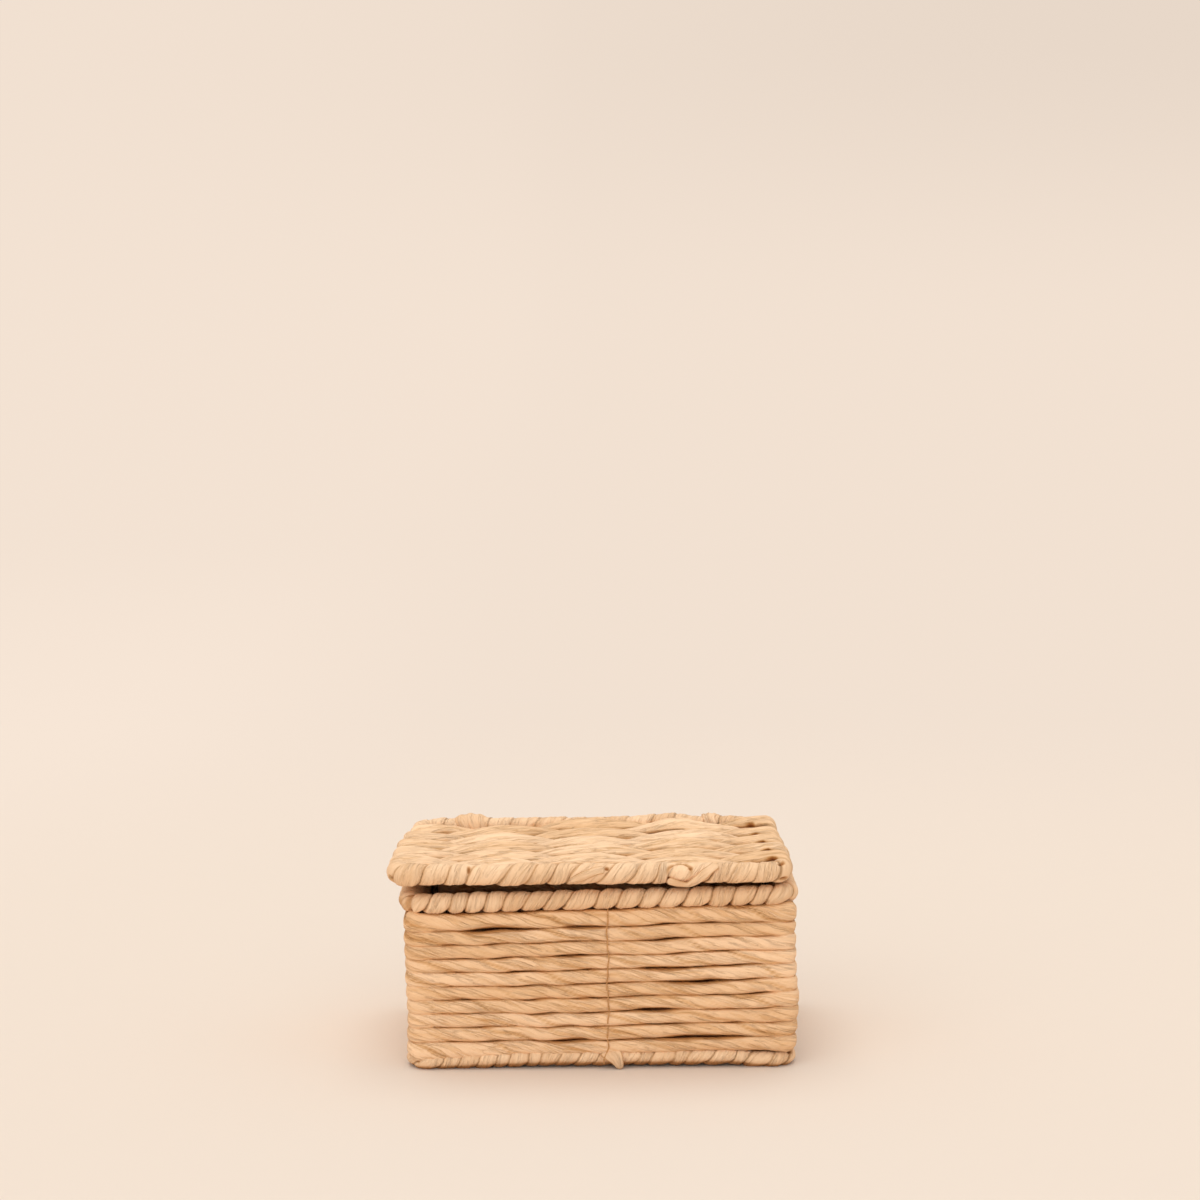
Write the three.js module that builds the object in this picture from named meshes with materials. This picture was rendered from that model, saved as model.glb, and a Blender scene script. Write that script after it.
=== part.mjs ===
// Woven lidded box: paper rope on a wire frame, with a lid hinged at the rear by strip loops.
// Millimetres. X runs along the front, the front faces -Y, Z is up and the base stands on Z = 0.
import * as THREE from "three";

// Clearances
const SEAT = 0.3; // gap that touching pieces keep
const TURN_GAP = 0.5; // axial gap between the turns of a strip
const END_GAP = 0.4; // gap at the ends of wraps and of woven rows

// Wire frame
const WIRE_R = 1.1;
const POST_R = 1.1;
const POST_TO_WIRE = 2.75; // from a post's axis out to the straight frame wire

// Wall of wound rope
const WALL_WIDTH = 120;
const WALL_DEPTH = 80;
const ROPE_D = 3.75;
const ROW_COUNT = 10;
const ROW1_Z = 7.4; // lowest row's centre, mid width
const ROW1_RISE = 0.8; // rise of the lowest row from left to right
const TOP_GAP = 1.8; // between the top row and the rim wrap
const CLIMB_HALF = 40; // half of the rear stretch where the rope climbs a row
const ROPE_END = 44; // where the rope starts and ends along the rear wall

// Strip wraps
const WRAP_IN = 1.65;
const BASE_WRAP_R = 2.6;
const RIM_WRAP_R = 3.4;
const LID_WRAP_R = 3.15;
const WRAP_FACE = 0.56; // share of a turn's width that stays at full height
const BASE_PITCH = 6.1;
const RIM_PITCH = 6.9;
const LID_PITCH = 8.3;
const FLAT_CUT = 0.5; // the base wraps are flattened this much where they stand

// Rim
const RIM_Z = 52.9; // rim wire's height, mid width
const RIM_RISE = 2.2; // rise of the rim from left to right

// Lid
const LID_RAIL_X = 58.85; // half distance between the side rails
const LID_RAIL_Y = 38.85; // half distance between the front and rear rails
const LID_CORNER = 3.5;
const LID_SHIFT_X = -2.8; // the lid sits this far to the left
const LID_WIRE_R = 0.9;
const LID_WIRE_COUNT = 3;

// Woven rope of the lid and the floor
const WEAVE_ROWS = 10;
const WEAVE_THICK = 2;
const FLOOR_Z = 3.5;
const FLOOR_WIRE_R = 0.6;
const FLOOR_WIRE_COUNT = 5;

// Hinge loops and binding threads
const LOOP_OFFSET = 39.7; // from the lid's middle
const LOOP_WIDTH = 6;
const LOOP_THICK = 1.1;
const LOOP_CLEAR = 0.35;
const THREAD_R = 0.35;
const THREAD_X = 2.3;
const THREAD_FOOT = 5;

// Worked out from the values above
const ROPE_R = ROPE_D / 2;
const ROPE_X = WALL_WIDTH / 2 - ROPE_R;
const ROPE_Y = WALL_DEPTH / 2 - ROPE_R;
const ROPE_BEND = POST_R + SEAT + ROPE_R;
const POST_X = ROPE_X - ROPE_BEND;
const POST_Y = ROPE_Y - ROPE_BEND;
const FRAME_X = POST_X + POST_TO_WIRE;
const FRAME_Y = POST_Y + POST_TO_WIRE;
const FRAME_CORNER = (POST_TO_WIRE * Math.SQRT2 - POST_R - WIRE_R - SEAT) / (Math.SQRT2 - 1);
const RUN_X = 2 * (POST_X - POST_R - END_GAP);
const RUN_Y = 2 * (POST_Y - POST_R - END_GAP);
const BASE_Z = BASE_WRAP_R - FLAT_CUT;
const rimZ = (x) => RIM_Z + (RIM_RISE * x) / WALL_WIDTH;
const LID_TURN = WIRE_R + SEAT + WEAVE_THICK / 2;
const LID_Z = rimZ(WALL_WIDTH / 2) + RIM_WRAP_R + SEAT + LID_TURN + WEAVE_THICK / 2;
const LID_Y = FRAME_Y - LID_RAIL_Y;
const LOOP_IN = RIM_WRAP_R + LOOP_CLEAR;
const LOOP_OUT = LOOP_IN + LOOP_THICK;

function rowZ(row, x) {
  const low = ROW1_Z + (ROW1_RISE * x) / WALL_WIDTH;
  const high = rimZ(x) - RIM_WRAP_R - TOP_GAP - ROPE_R;
  return low + ((high - low) * row) / (ROW_COUNT - 1);
}

// Materials
const ropePaper = new THREE.MeshStandardMaterial({ color: 0xdcae82, roughness: 0.9, metalness: 0 });
const stripPaper = new THREE.MeshStandardMaterial({ color: 0xe9bf94, roughness: 0.85, metalness: 0 });
const frameSteel = new THREE.MeshStandardMaterial({ color: 0x8d8377, roughness: 0.45, metalness: 1 });
const brownThread = new THREE.MeshStandardMaterial({ color: 0x8f6037, roughness: 0.9, metalness: 0 });

// Joins rings of points into one closed body, as a loop or with flat ends.
function bodyFromRings(rings, loop) {
  const n = rings[0].length;
  const position = [];
  for (const ring of rings) {
    for (const p of ring) position.push(p.x, p.y, p.z);
  }
  const index = [];
  const last = loop ? rings.length : rings.length - 1;
  for (let i = 0; i < last; i++) {
    const a = i * n;
    const b = ((i + 1) % rings.length) * n;
    for (let j = 0; j < n; j++) {
      const k = (j + 1) % n;
      index.push(a + j, b + j, b + k, a + j, b + k, a + k);
    }
  }
  if (!loop) {
    const end = (rings.length - 1) * n;
    for (let j = 1; j < n - 1; j++) {
      index.push(0, j, j + 1);
      index.push(end, end + j + 1, end + j);
    }
  }
  let volume = 0;
  const at = (i) => new THREE.Vector3(position[3 * i], position[3 * i + 1], position[3 * i + 2]);
  for (let t = 0; t < index.length; t += 3) {
    volume += at(index[t]).dot(at(index[t + 1]).cross(at(index[t + 2])));
  }
  if (volume < 0) index.reverse();
  const geometry = new THREE.BufferGeometry();
  geometry.setAttribute("position", new THREE.Float32BufferAttribute(position, 3));
  geometry.setIndex(index);
  geometry.computeVertexNormals();
  return geometry;
}

// Round section with the given number of sides, swept along points that carry an outward direction.
function roundSweep(path, radius, sides, loop) {
  const rings = path.map((here, i) => {
    const before = path[loop ? (i + path.length - 1) % path.length : Math.max(i - 1, 0)];
    const after = path[loop ? (i + 1) % path.length : Math.min(i + 1, path.length - 1)];
    const along = after.at.clone().sub(before.at).normalize();
    const up = along.clone().cross(here.out).normalize();
    const out = up.clone().cross(along).normalize();
    return Array.from({ length: sides }, (_, j) => {
      const angle = ((j + 0.5) / sides) * 2 * Math.PI;
      return here.at
        .clone()
        .addScaledVector(out, radius * Math.cos(angle))
        .addScaledVector(up, radius * Math.sin(angle));
    });
  });
  return bodyFromRings(rings, loop);
}

// Quarter turn of a rounded rectangle, from one angle to the next, about a corner's centre.
function corner(cx, cy, radius, from, steps, heightAt) {
  return Array.from({ length: steps + 1 }, (_, i) => {
    const angle = from + ((Math.PI / 2) * i) / steps;
    const out = new THREE.Vector3(Math.cos(angle), Math.sin(angle), 0);
    const x = cx + radius * out.x;
    return { at: new THREE.Vector3(x, cy + radius * out.y, heightAt(x)), out };
  });
}

function frameWire(halfX, halfY, radius) {
  const level = () => 0;
  const cx = halfX - radius;
  const cy = halfY - radius;
  const path = [
    ...corner(cx, cy, radius, 0, 4, level),
    ...corner(-cx, cy, radius, Math.PI / 2, 4, level),
    ...corner(-cx, -cy, radius, Math.PI, 4, level),
    ...corner(cx, -cy, radius, 1.5 * Math.PI, 4, level),
  ];
  return roundSweep(path, WIRE_R, 6, true);
}

// Least distance between points that lie more than a given number of steps apart along the piece.
function leastGap(points, skip) {
  let least = Infinity;
  for (let i = 0; i < points.length; i++) {
    for (let j = i + skip; j < points.length; j++) {
      least = Math.min(least, points[i].distanceTo(points[j]));
    }
  }
  return least;
}

// Points every so often along a path.
function spaced(path, step) {
  const points = [];
  for (let i = 0; i + 1 < path.length; i++) {
    const a = path[i].at;
    const b = path[i + 1].at;
    const count = Math.max(1, Math.ceil(a.distanceTo(b) / step));
    for (let k = 0; k < count; k++) points.push(a.clone().lerp(b, k / count));
  }
  return points;
}

// One rope round the four walls: level rows at the left, front and right, a climb along the rear.
function wallRopePath() {
  const path = [];
  const rear = (x, row) => ({
    at: new THREE.Vector3(x, ROPE_Y, rowZ(row, x)),
    out: new THREE.Vector3(0, 1, 0),
  });
  path.push(rear(-ROPE_END, 0));
  for (let row = 0; row < ROW_COUNT; row++) {
    const height = (x) => rowZ(row, x);
    path.push(...corner(-POST_X, POST_Y, ROPE_BEND, Math.PI / 2, 4, height));
    path.push(...corner(-POST_X, -POST_Y, ROPE_BEND, Math.PI, 4, height));
    path.push({
      at: new THREE.Vector3(0, -ROPE_Y, height(0)),
      out: new THREE.Vector3(0, -1, 0),
    });
    path.push(...corner(POST_X, -POST_Y, ROPE_BEND, 1.5 * Math.PI, 4, height));
    path.push(...corner(POST_X, POST_Y, ROPE_BEND, 0, 4, height));
    if (row < ROW_COUNT - 1) {
      path.push(rear(CLIMB_HALF, row));
      path.push(rear(-CLIMB_HALF, row + 1));
    }
  }
  path.push(rear(ROPE_END, ROW_COUNT - 1));
  return path;
}

// A strip wound along X: six steps a turn, each turn highest along its middle.
function stripWrap(name, run, radius, pitchWanted, floor) {
  const turns = Math.round((run + TURN_GAP) / pitchWanted) - 1;
  const pitch = (run + TURN_GAP) / (turns + 1);
  const half = (pitch - TURN_GAP) / 2;
  const rings = [];
  for (let i = 0; i <= 6 * turns; i++) {
    const angle = (i * Math.PI) / 3;
    const s = -run / 2 + half + (pitch * i) / 6;
    const point = (r, x) => {
      const z = r * Math.sin(angle);
      return new THREE.Vector3(x, -r * Math.cos(angle), Math.max(z, floor));
    };
    rings.push([
      point(WRAP_IN, s - half),
      point(radius, s - half * WRAP_FACE),
      point(radius, s + half * WRAP_FACE),
      point(WRAP_IN, s + half),
    ]);
  }
  const gap = Math.min(
    ...rings.slice(6).flatMap((ring, i) => ring.flatMap((p) => rings[i].map((q) => p.distanceTo(q)))),
  );
  console.log(`${name}: ${turns} turns, pitch ${pitch.toFixed(2)}, least gap to itself ${gap.toFixed(2)} mm`);
  return bodyFromRings(rings, false);
}

// One flat rope woven in rows along X, over and under wires along Y, turned round the end wires.
function wovenRope(wires, wireR, endR, firstY, pitch, spanSteps, turnSteps) {
  const width = pitch - TURN_GAP;
  const middle = wireR + SEAT + WEAVE_THICK / 2;
  const end = endR + SEAT + WEAVE_THICK / 2;
  const lift = (j) => (j === 0 || j === wires.length - 1 ? end : middle);
  const tail = 1.5;
  const path = [];
  for (let row = 0; row < WEAVE_ROWS; row++) {
    const right = row % 2 === 0;
    const y = firstY + pitch * (row + 0.5);
    const sign = (j) => (j % 2 === 0 ? -1 : 1) * (right ? 1 : -1);
    if (row === 0) path.push(new THREE.Vector3(wires[0] - tail, y, -end));
    for (let k = 0; k + 1 < wires.length; k++) {
      const j = right ? k : wires.length - 1 - k;
      const next = right ? j + 1 : j - 1;
      for (let s = 0; s < spanSteps; s++) {
        const t = s / spanSteps;
        const blend = (1 + Math.cos(Math.PI * t)) / 2;
        const z = sign(j) * lift(j) * blend + sign(next) * lift(next) * (1 - blend);
        path.push(new THREE.Vector3(wires[j] + (wires[next] - wires[j]) * t, y, z));
      }
    }
    const edge = right ? wires[wires.length - 1] : wires[0];
    const away = right ? 1 : -1;
    if (row < WEAVE_ROWS - 1) {
      for (let s = 0; s < turnSteps; s++) {
        const t = s / turnSteps;
        const angle = Math.PI * t;
        const shift = (1 - Math.cos(angle)) / 2;
        const z = -away * end * Math.cos(angle);
        path.push(new THREE.Vector3(edge + away * end * Math.sin(angle), y + pitch * shift, z));
      }
    } else {
      path.push(new THREE.Vector3(edge, y, end));
      path.push(new THREE.Vector3(edge + away * tail, y, end));
    }
  }
  const section = [
    [0.5, 0],
    [0.3, 0.5],
    [-0.3, 0.5],
    [-0.5, 0],
    [-0.3, -0.5],
    [0.3, -0.5],
  ];
  const rings = path.map((here, i) => {
    const before = path[Math.max(i - 1, 0)];
    const after = path[Math.min(i + 1, path.length - 1)];
    const along = new THREE.Vector2(after.x - before.x, after.z - before.z).normalize();
    return section.map(([a, b]) => {
      const up = b * WEAVE_THICK;
      return new THREE.Vector3(here.x + along.y * up, here.y + a * width, here.z - along.x * up);
    });
  });
  return bodyFromRings(rings, false);
}

// A strip loop round two rails, the upper one a given height above the lower.
function loopShape(height) {
  const shape = new THREE.Shape();
  shape.absarc(0, height, LOOP_OUT, 0, Math.PI, false);
  shape.absarc(0, 0, LOOP_OUT, Math.PI, 2 * Math.PI, false);
  shape.closePath();
  const hole = new THREE.Path();
  hole.absarc(0, height, LOOP_IN, 0, Math.PI, false);
  hole.absarc(0, 0, LOOP_IN, Math.PI, 2 * Math.PI, false);
  hole.closePath();
  shape.holes.push(hole);
  return new THREE.ExtrudeGeometry(shape, { depth: LOOP_WIDTH, bevelEnabled: false, curveSegments: 8 });
}

// A thread up the outside of the rows, over the top row and down the inside.
function bindingThread() {
  const reach = ROPE_R + SEAT + THREAD_R;
  const top = rowZ(ROW_COUNT - 1, THREAD_X);
  const path = [];
  const add = (y, z, oy, oz) =>
    path.push({ at: new THREE.Vector3(0, y, z), out: new THREE.Vector3(0, oy, oz) });
  add(-reach, THREAD_FOOT, -1, 0);
  for (let i = 0; i <= 6; i++) {
    const angle = (Math.PI * i) / 6;
    const oy = -Math.cos(angle);
    const oz = Math.sin(angle);
    add(reach * oy, top + reach * oz, oy, oz);
  }
  add(reach, THREAD_FOOT + ROPE_D, 1, 0);
  return roundSweep(path, THREAD_R, 6, false);
}

const assembly = new THREE.Group();
const box = new THREE.Group();
assembly.add(box);

function piece(parent, name, geometry, material, x = 0, y = 0, z = 0, turn = 0) {
  const mesh = new THREE.Mesh(geometry, material);
  mesh.name = name;
  mesh.position.set(x, y, z);
  mesh.rotation.z = turn;
  parent.add(mesh);
  return mesh;
}

// Frame of the box
piece(box, "base_frame_wire", frameWire(FRAME_X, FRAME_Y, FRAME_CORNER), frameSteel, 0, 0, BASE_Z);
const posts = [
  ["corner_post_front_left", -POST_X, -POST_Y],
  ["corner_post_front_right", POST_X, -POST_Y],
  ["corner_post_rear_right", POST_X, POST_Y],
  ["corner_post_rear_left", -POST_X, POST_Y],
];
for (const [name, x, y] of posts) {
  const foot = BASE_Z - WIRE_R;
  const height = rimZ(x) + WIRE_R - foot;
  const post = new THREE.CylinderGeometry(POST_R, POST_R, height, 8).rotateX(Math.PI / 2);
  piece(box, name, post, frameSteel, x, y, foot + height / 2);
}

// Rim, which rises to the right
const rim = new THREE.Group();
rim.position.z = RIM_Z;
rim.rotation.y = -Math.atan2(RIM_RISE, WALL_WIDTH);
box.add(rim);
piece(rim, "rim_frame_wire", frameWire(FRAME_X, FRAME_Y, FRAME_CORNER), frameSteel);
const none = -Infinity;
const sides = [
  ["front", RUN_X, 0, -FRAME_Y, 0],
  ["right", RUN_Y, FRAME_X, 0, Math.PI / 2],
  ["rear", RUN_X, 0, FRAME_Y, Math.PI],
  ["left", RUN_Y, -FRAME_X, 0, -Math.PI / 2],
];
for (const [side, run, x, y, turn] of sides) {
  const rimName = `rim_wrap_${side}`;
  piece(rim, rimName, stripWrap(rimName, run, RIM_WRAP_R, RIM_PITCH, none), stripPaper, x, y, 0, turn);
  const baseName = `base_wrap_${side}`;
  const baseWrap = stripWrap(baseName, run, BASE_WRAP_R, BASE_PITCH, -BASE_Z);
  piece(box, baseName, baseWrap, stripPaper, x, y, BASE_Z, turn);
}

// Wall
const wallPath = wallRopePath();
piece(box, "wall_rope", roundSweep(wallPath, ROPE_R, 6, false), ropePaper);
const wallPoints = spaced(wallPath, 1);
const wallGap = leastGap(wallPoints, 60) - ROPE_D;
console.log(`wall_rope: ${ROW_COUNT} rows, least gap to itself ${wallGap.toFixed(2)} mm`);
piece(box, "front_binding_thread", bindingThread(), brownThread, THREAD_X, -ROPE_Y);
piece(box, "rear_binding_thread", bindingThread(), brownThread, THREAD_X, ROPE_Y, 0, Math.PI);

// Floor
const floorTurn = FLOOR_WIRE_R + SEAT + WEAVE_THICK / 2;
const floorEnd = FRAME_X - BASE_WRAP_R - END_GAP - WEAVE_THICK / 2 - floorTurn;
const floorHalf = RUN_Y / 2;
const floorPitch = (2 * floorHalf) / WEAVE_ROWS;
const floorWireRise = FLOOR_Z - FLOOR_WIRE_R - BASE_Z;
const floorWireHalf = FRAME_Y - Math.sqrt(BASE_WRAP_R ** 2 - floorWireRise ** 2) - SEAT;
const floorWires = [];
for (let i = 0; i < FLOOR_WIRE_COUNT; i++) {
  const x = floorEnd * ((2 * i) / (FLOOR_WIRE_COUNT - 1) - 1);
  floorWires.push(x);
  const wire = new THREE.CylinderGeometry(FLOOR_WIRE_R, FLOOR_WIRE_R, 2 * floorWireHalf, 8);
  piece(box, `floor_cross_wire_${i + 1}`, wire, frameSteel, x, 0, FLOOR_Z);
}
const floorRope = wovenRope(floorWires, FLOOR_WIRE_R, FLOOR_WIRE_R, -floorHalf, floorPitch, 2, 4);
piece(box, "floor_rope", floorRope, ropePaper, 0, 0, FLOOR_Z);

// Lid
const lid = new THREE.Group();
lid.position.set(LID_SHIFT_X, LID_Y, LID_Z);
assembly.add(lid);
piece(lid, "lid_frame_wire", frameWire(LID_RAIL_X, LID_RAIL_Y, LID_CORNER), frameSteel);
const lidRun = 2 * (LID_RAIL_X - LID_CORNER - SEAT);
const lidFront = stripWrap("lid_wrap_front", lidRun, LID_WRAP_R, LID_PITCH, none);
piece(lid, "lid_wrap_front", lidFront, stripPaper, 0, -LID_RAIL_Y);
const lidRear = stripWrap("lid_wrap_rear", lidRun, LID_WRAP_R, LID_PITCH, none);
piece(lid, "lid_wrap_rear", lidRear, stripPaper, 0, LID_RAIL_Y, 0, Math.PI);
const lidWireHalf = LID_RAIL_Y - LID_WRAP_R - SEAT;
const lidWires = [-LID_RAIL_X];
for (let i = 1; i <= LID_WIRE_COUNT; i++) {
  const x = LID_RAIL_X * ((2 * i) / (LID_WIRE_COUNT + 1) - 1);
  lidWires.push(x);
  const wire = new THREE.CylinderGeometry(LID_WIRE_R, LID_WIRE_R, 2 * lidWireHalf, 8);
  piece(lid, `lid_cross_wire_${i}`, wire, frameSteel, x, 0, 0);
}
lidWires.push(LID_RAIL_X);
const lidRowsFrom = -LID_RAIL_Y + LID_WRAP_R + SEAT;
const lidRowsTo = LID_RAIL_Y - LOOP_OUT - END_GAP;
const lidPitch = (lidRowsTo - lidRowsFrom) / WEAVE_ROWS;
const lidRope = wovenRope(lidWires, LID_WIRE_R, WIRE_R, lidRowsFrom, lidPitch, 3, 5);
piece(lid, "lid_rope", lidRope, ropePaper);

// Hinge loops, on the box
const loops = [
  ["hinge_loop_left", LID_SHIFT_X - LOOP_OFFSET],
  ["hinge_loop_right", LID_SHIFT_X + LOOP_OFFSET],
];
for (const [name, x] of loops) {
  const loop = piece(box, name, loopShape(LID_Z - rimZ(x)), stripPaper, x - LOOP_WIDTH / 2, FRAME_Y, rimZ(x));
  loop.rotation.set(Math.PI / 2, Math.PI / 2, 0);
}

// The footprint's centre goes to the origin.
const leftMost = LID_SHIFT_X - LID_RAIL_X - LID_TURN - WEAVE_THICK / 2;
const rightMost = FRAME_X + RIM_WRAP_R;
const frontMost = LID_Y - LID_RAIL_Y - LID_WRAP_R;
const rearMost = FRAME_Y + LOOP_OUT;
assembly.position.set(-(leftMost + rightMost) / 2, -(frontMost + rearMost) / 2, 0);
const hinge = [0, FRAME_Y + assembly.position.y, LID_Z].map((v) => v.toFixed(3));
console.log(`lid hinge axis at ${hinge.join(", ")}; box centre at x ${assembly.position.x.toFixed(3)}`);
console.log(`box centre y ${assembly.position.y.toFixed(3)}, post axis ${POST_X.toFixed(3)}, ${POST_Y.toFixed(3)}`);

export default assembly;
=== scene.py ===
"""Looks of the woven lidded box: twisted paper rope, strip-wrapped rails, loops, threads and wires."""

import math

import bmesh
import bpy
import numpy as np
from bpy.props import FloatProperty, FloatVectorProperty, IntProperty, PointerProperty
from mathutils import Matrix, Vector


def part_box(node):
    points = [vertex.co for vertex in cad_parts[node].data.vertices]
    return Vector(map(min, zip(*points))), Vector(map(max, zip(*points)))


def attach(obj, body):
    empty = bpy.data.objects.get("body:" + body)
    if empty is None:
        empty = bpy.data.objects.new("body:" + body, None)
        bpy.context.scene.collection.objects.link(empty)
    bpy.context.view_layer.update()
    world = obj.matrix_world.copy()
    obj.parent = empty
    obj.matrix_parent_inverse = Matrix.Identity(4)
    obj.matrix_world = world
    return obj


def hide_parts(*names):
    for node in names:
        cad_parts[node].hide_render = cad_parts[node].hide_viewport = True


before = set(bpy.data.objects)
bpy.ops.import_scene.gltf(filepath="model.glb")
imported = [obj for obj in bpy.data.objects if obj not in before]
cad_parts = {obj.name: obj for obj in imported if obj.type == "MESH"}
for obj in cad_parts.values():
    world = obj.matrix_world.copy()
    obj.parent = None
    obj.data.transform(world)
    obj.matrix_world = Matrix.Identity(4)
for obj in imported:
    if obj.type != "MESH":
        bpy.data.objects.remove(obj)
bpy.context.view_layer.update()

bl_info = {
    "name": "Woven Lidded Box",
    "version": (1, 0, 0),
    "blender": (4, 5, 0),
    "location": "View3D > Sidebar > Woven Box",
    "description": "Rope, wrapped rails, loops, threads and stage of a woven lidded box",
    "category": "Object",
}

SIDES = ("front", "right", "rear", "left")
X_AXIS = (1.0, 0.0, 0.0)
Z_AXIS = (0.0, 0.0, 1.0)

# Points in each quarter round corner of a route
CORNER_POINTS = 13

# Dark slits between rows of the front wall: lower row, place along x, half length, depth
FRONT_SLITS = (
    (8, -0.0325, 0.0095, 0.00088),
    (8, -0.0045, 0.0065, 0.00070),
    (6, -0.0080, 0.0060, 0.00030),
    (5, 0.0185, 0.0072, 0.00080),
    (4, 0.0290, 0.0088, 0.00078),
    (2, 0.0175, 0.0062, 0.00056),
    (0, -0.0100, 0.0075, 0.00068),
    (0, 0.0300, 0.0130, 0.00074),
)

# Where turns of strip start on the front rim and on the lid's front rail, along x from the rail's middle
RIM_MARKS = (
    -0.0525, -0.0455, -0.0407, -0.0350, -0.0293, -0.0227, -0.0160, -0.0099, -0.0009, 0.0057,
    0.0129, 0.0189, 0.0262, 0.0339, 0.0407, 0.0472, 0.0515,
)
LID_MARKS = (
    -0.0580, -0.0512, -0.0433, -0.0371, -0.0259, -0.0179, -0.0114, -0.0061, 0.0047, 0.0136, 0.0204,
    0.0238, 0.0371, 0.0429, 0.0506,
)

# Width of the front wall, over which the rim and the lowest row rise
WALL_WIDTH = 0.12

# From the wall's outer face in to the middle of its rope, and the rope's bend at the corners
ROPE_IN = 0.001875
ROPE_BEND = 0.003275

# How squared-off the wall rope's section is, with 2 for a round one
ROPE_SQUARE = 2.3

# Twist of the woven rope as a share of the wall rope's
WEAVE_TWIST = 0.25

# How far the rope's ends lie past the middle of the rear wall, and half of the stretch where it climbs
ROPE_TAIL = 0.034
CLIMB_HALF = 0.040

# Radius of the frame wires
FRAME_WIRE = 0.0011

# Where the hinge loops hold the lid's rear rail, from its middle
LOOP_AT = 0.0397

# Hinge loops: how far inside the solid, shares of the width and the thickness, droop of the edges, seed
HINGE_LOOPS = {
    "left": (0.00110, 1.0, 1.0, 0.00085, 131),
    "right": (0.00140, 0.515, 0.7, 0.00030, 141),
}

# How far the lid's rear left and right corners are drawn in
LEFT_PULL = (0.0023, -0.0003, -0.0004)
RIGHT_PULL = (-0.0012, 0.0, -0.0009)

# How far the lid's rear rail rises left of its right loop
REAR_RISE = 0.0011

# How far the front of the wrapped base stands off the floor in its middle
BASE_ARCH = 0.0011

# How far the wrapped rim hangs below its wire's middle
RIM_SAG = 0.0003

# How much further left the wrapped rim reaches than its wire
RIM_LEFT = 0.0010

# Bumps and dents on the wraps: place along x, turn up from the front, half sizes, height, depth of the ring
# round each bump's edge, and painted shade laid in the dents and round the bumps' edges
LID_PADS = (
    (0.0243, 0.22, 0.0033, 0.0029, 0.00050, 0.00055, 1.6),
    (0.0212, -0.45, 0.0006, 0.0006, -0.00060, 0.0, 2.2),
    (0.0276, 0.62, 0.0006, 0.0006, -0.00060, 0.0, 2.2),
    (0.0022, 0.70, 0.0007, 0.0006, -0.00070, 0.0, 2.2),
    (0.0548, 1.05, 0.0010, 0.0007, -0.00080, 0.0, 2.2),
    (0.0546, -0.65, 0.0009, 0.0007, -0.00080, 0.0, 2.2),
    (-0.0397, 0.70, 0.0005, 0.0015, -0.00050, 0.0, 2.2),
)
BASE_PADS = (
    (-0.0550, 0.30, 0.0004, 0.0007, -0.00020, 0.0, 2.2),
    (0.0575, 0.90, 0.0008, 0.0008, -0.00040, 0.0, 2.2),
)

# The same for the rim, from the middle of its front left corner: a dent with painted shade at the corner, and
# painted shade on the lower front of the left run
RIM_PADS = (
    (0.0005, 0.0, 0.0008, 0.0200, -0.00080, 0.0, 0.9),
    (-0.0030, -0.55, 0.0030, 0.0034, -0.00025, 0.0, 0.7),
)

# Swollen turns of the lid's front strip: count of the turn, half width in turns, height
LID_BULGES = ((0.9, 1.0, 0.00045), (5.5, 0.55, 0.00045), (17.0, 0.9, 0.0003))

# Height of the woven rows over their wires
LID_LIFTS = (0.0024, 0.0022, 0.0022, 0.0022, 0.0024)
FLOOR_LIFTS = (0.0019, 0.0019, 0.0019, 0.0019, 0.0019)

# Length of a face along each wound or woven piece
FACE_LENGTH = {
    "wall_rope_twist": 0.00128,
    "rim_strip": 0.00036,
    "base_strip": 0.00042,
    "lid_front_strip": 0.00028,
    "lid_rear_strip": 0.00040,
    "lid_weave": 0.00095,
    "floor_weave": 0.0011,
}

# Step between the points of a binding thread, and its gap to the rows
THREAD_STEP = 0.0004
THREAD_GAP = 0.0002

# Loose ends of strip: places along x, up from the rail and out from its wrap
LID_CURL = (
    (0.0206, -0.0024, 0.0), (0.0238, -0.0033, 0.0003), (0.0272, -0.0034, 0.0006), (0.0303, -0.0017, 0.0004),
    (0.0330, 0.0007, 0.0001), (0.0357, 0.0027, 0.0),
)
LID_TUCK = (
    (-0.0088, -0.0026, 0.0), (-0.0074, -0.0019, 0.0), (-0.0043, -0.0005, 0.0), (-0.0012, 0.0008, 0.0),
    (0.0015, 0.0014, 0.0),
)
BASE_TAB = (
    (0.0024, 0.0027, -0.0003), (0.0034, 0.0014, 0.0), (0.0045, 0.0, 0.0002), (0.0053, -0.0015, 0.0005),
    (0.0059, -0.0027, 0.0012),
)

# Lamps: name, where from, strength, apparent size in degrees
LAMPS = (
    ("key_lamp", (-0.05, 0.16, 1.0), 1.00, 46.0),
    ("fill_lamp", (-0.25, -1.0, 0.52), 0.955, 80.0),
)
LAMP_COLOUR = (1.0, 0.985, 0.96)
ROOM_COLOUR = (1.0, 0.99, 0.975, 1.0)
ROOM_LIGHT = 0.70

# Camera: lens in millimetres, place from the wall's middle and the floor, tilt down and roll in degrees
LENS = 82.1
CAMERA_RIGHT = 0.0015
CAMERA_BACK = 0.8595
CAMERA_UP = 0.2333
CAMERA_TILT = 6.16
CAMERA_ROLL = 0.45

# Backdrop: width, front edge, depth of the floor, bend up into the wall, height of the wall, all in metres
SWEEP_WIDTH = 14.0
SWEEP_FRONT = -5.0
SWEEP_DEPTH = 10.0
SWEEP_BEND = 1.5
SWEEP_WALL = 4.0


def metres(name, text, value):
    """A length that a user may change."""
    return FloatProperty(name=name, description=text, default=value, min=0.0, unit="LENGTH", precision=5)


def tint(name, text, value):
    """A colour that a user may change."""
    return FloatVectorProperty(
        name=name, description=text, default=value, size=3, min=0.0, max=1.0, subtype="COLOR"
    )


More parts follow.
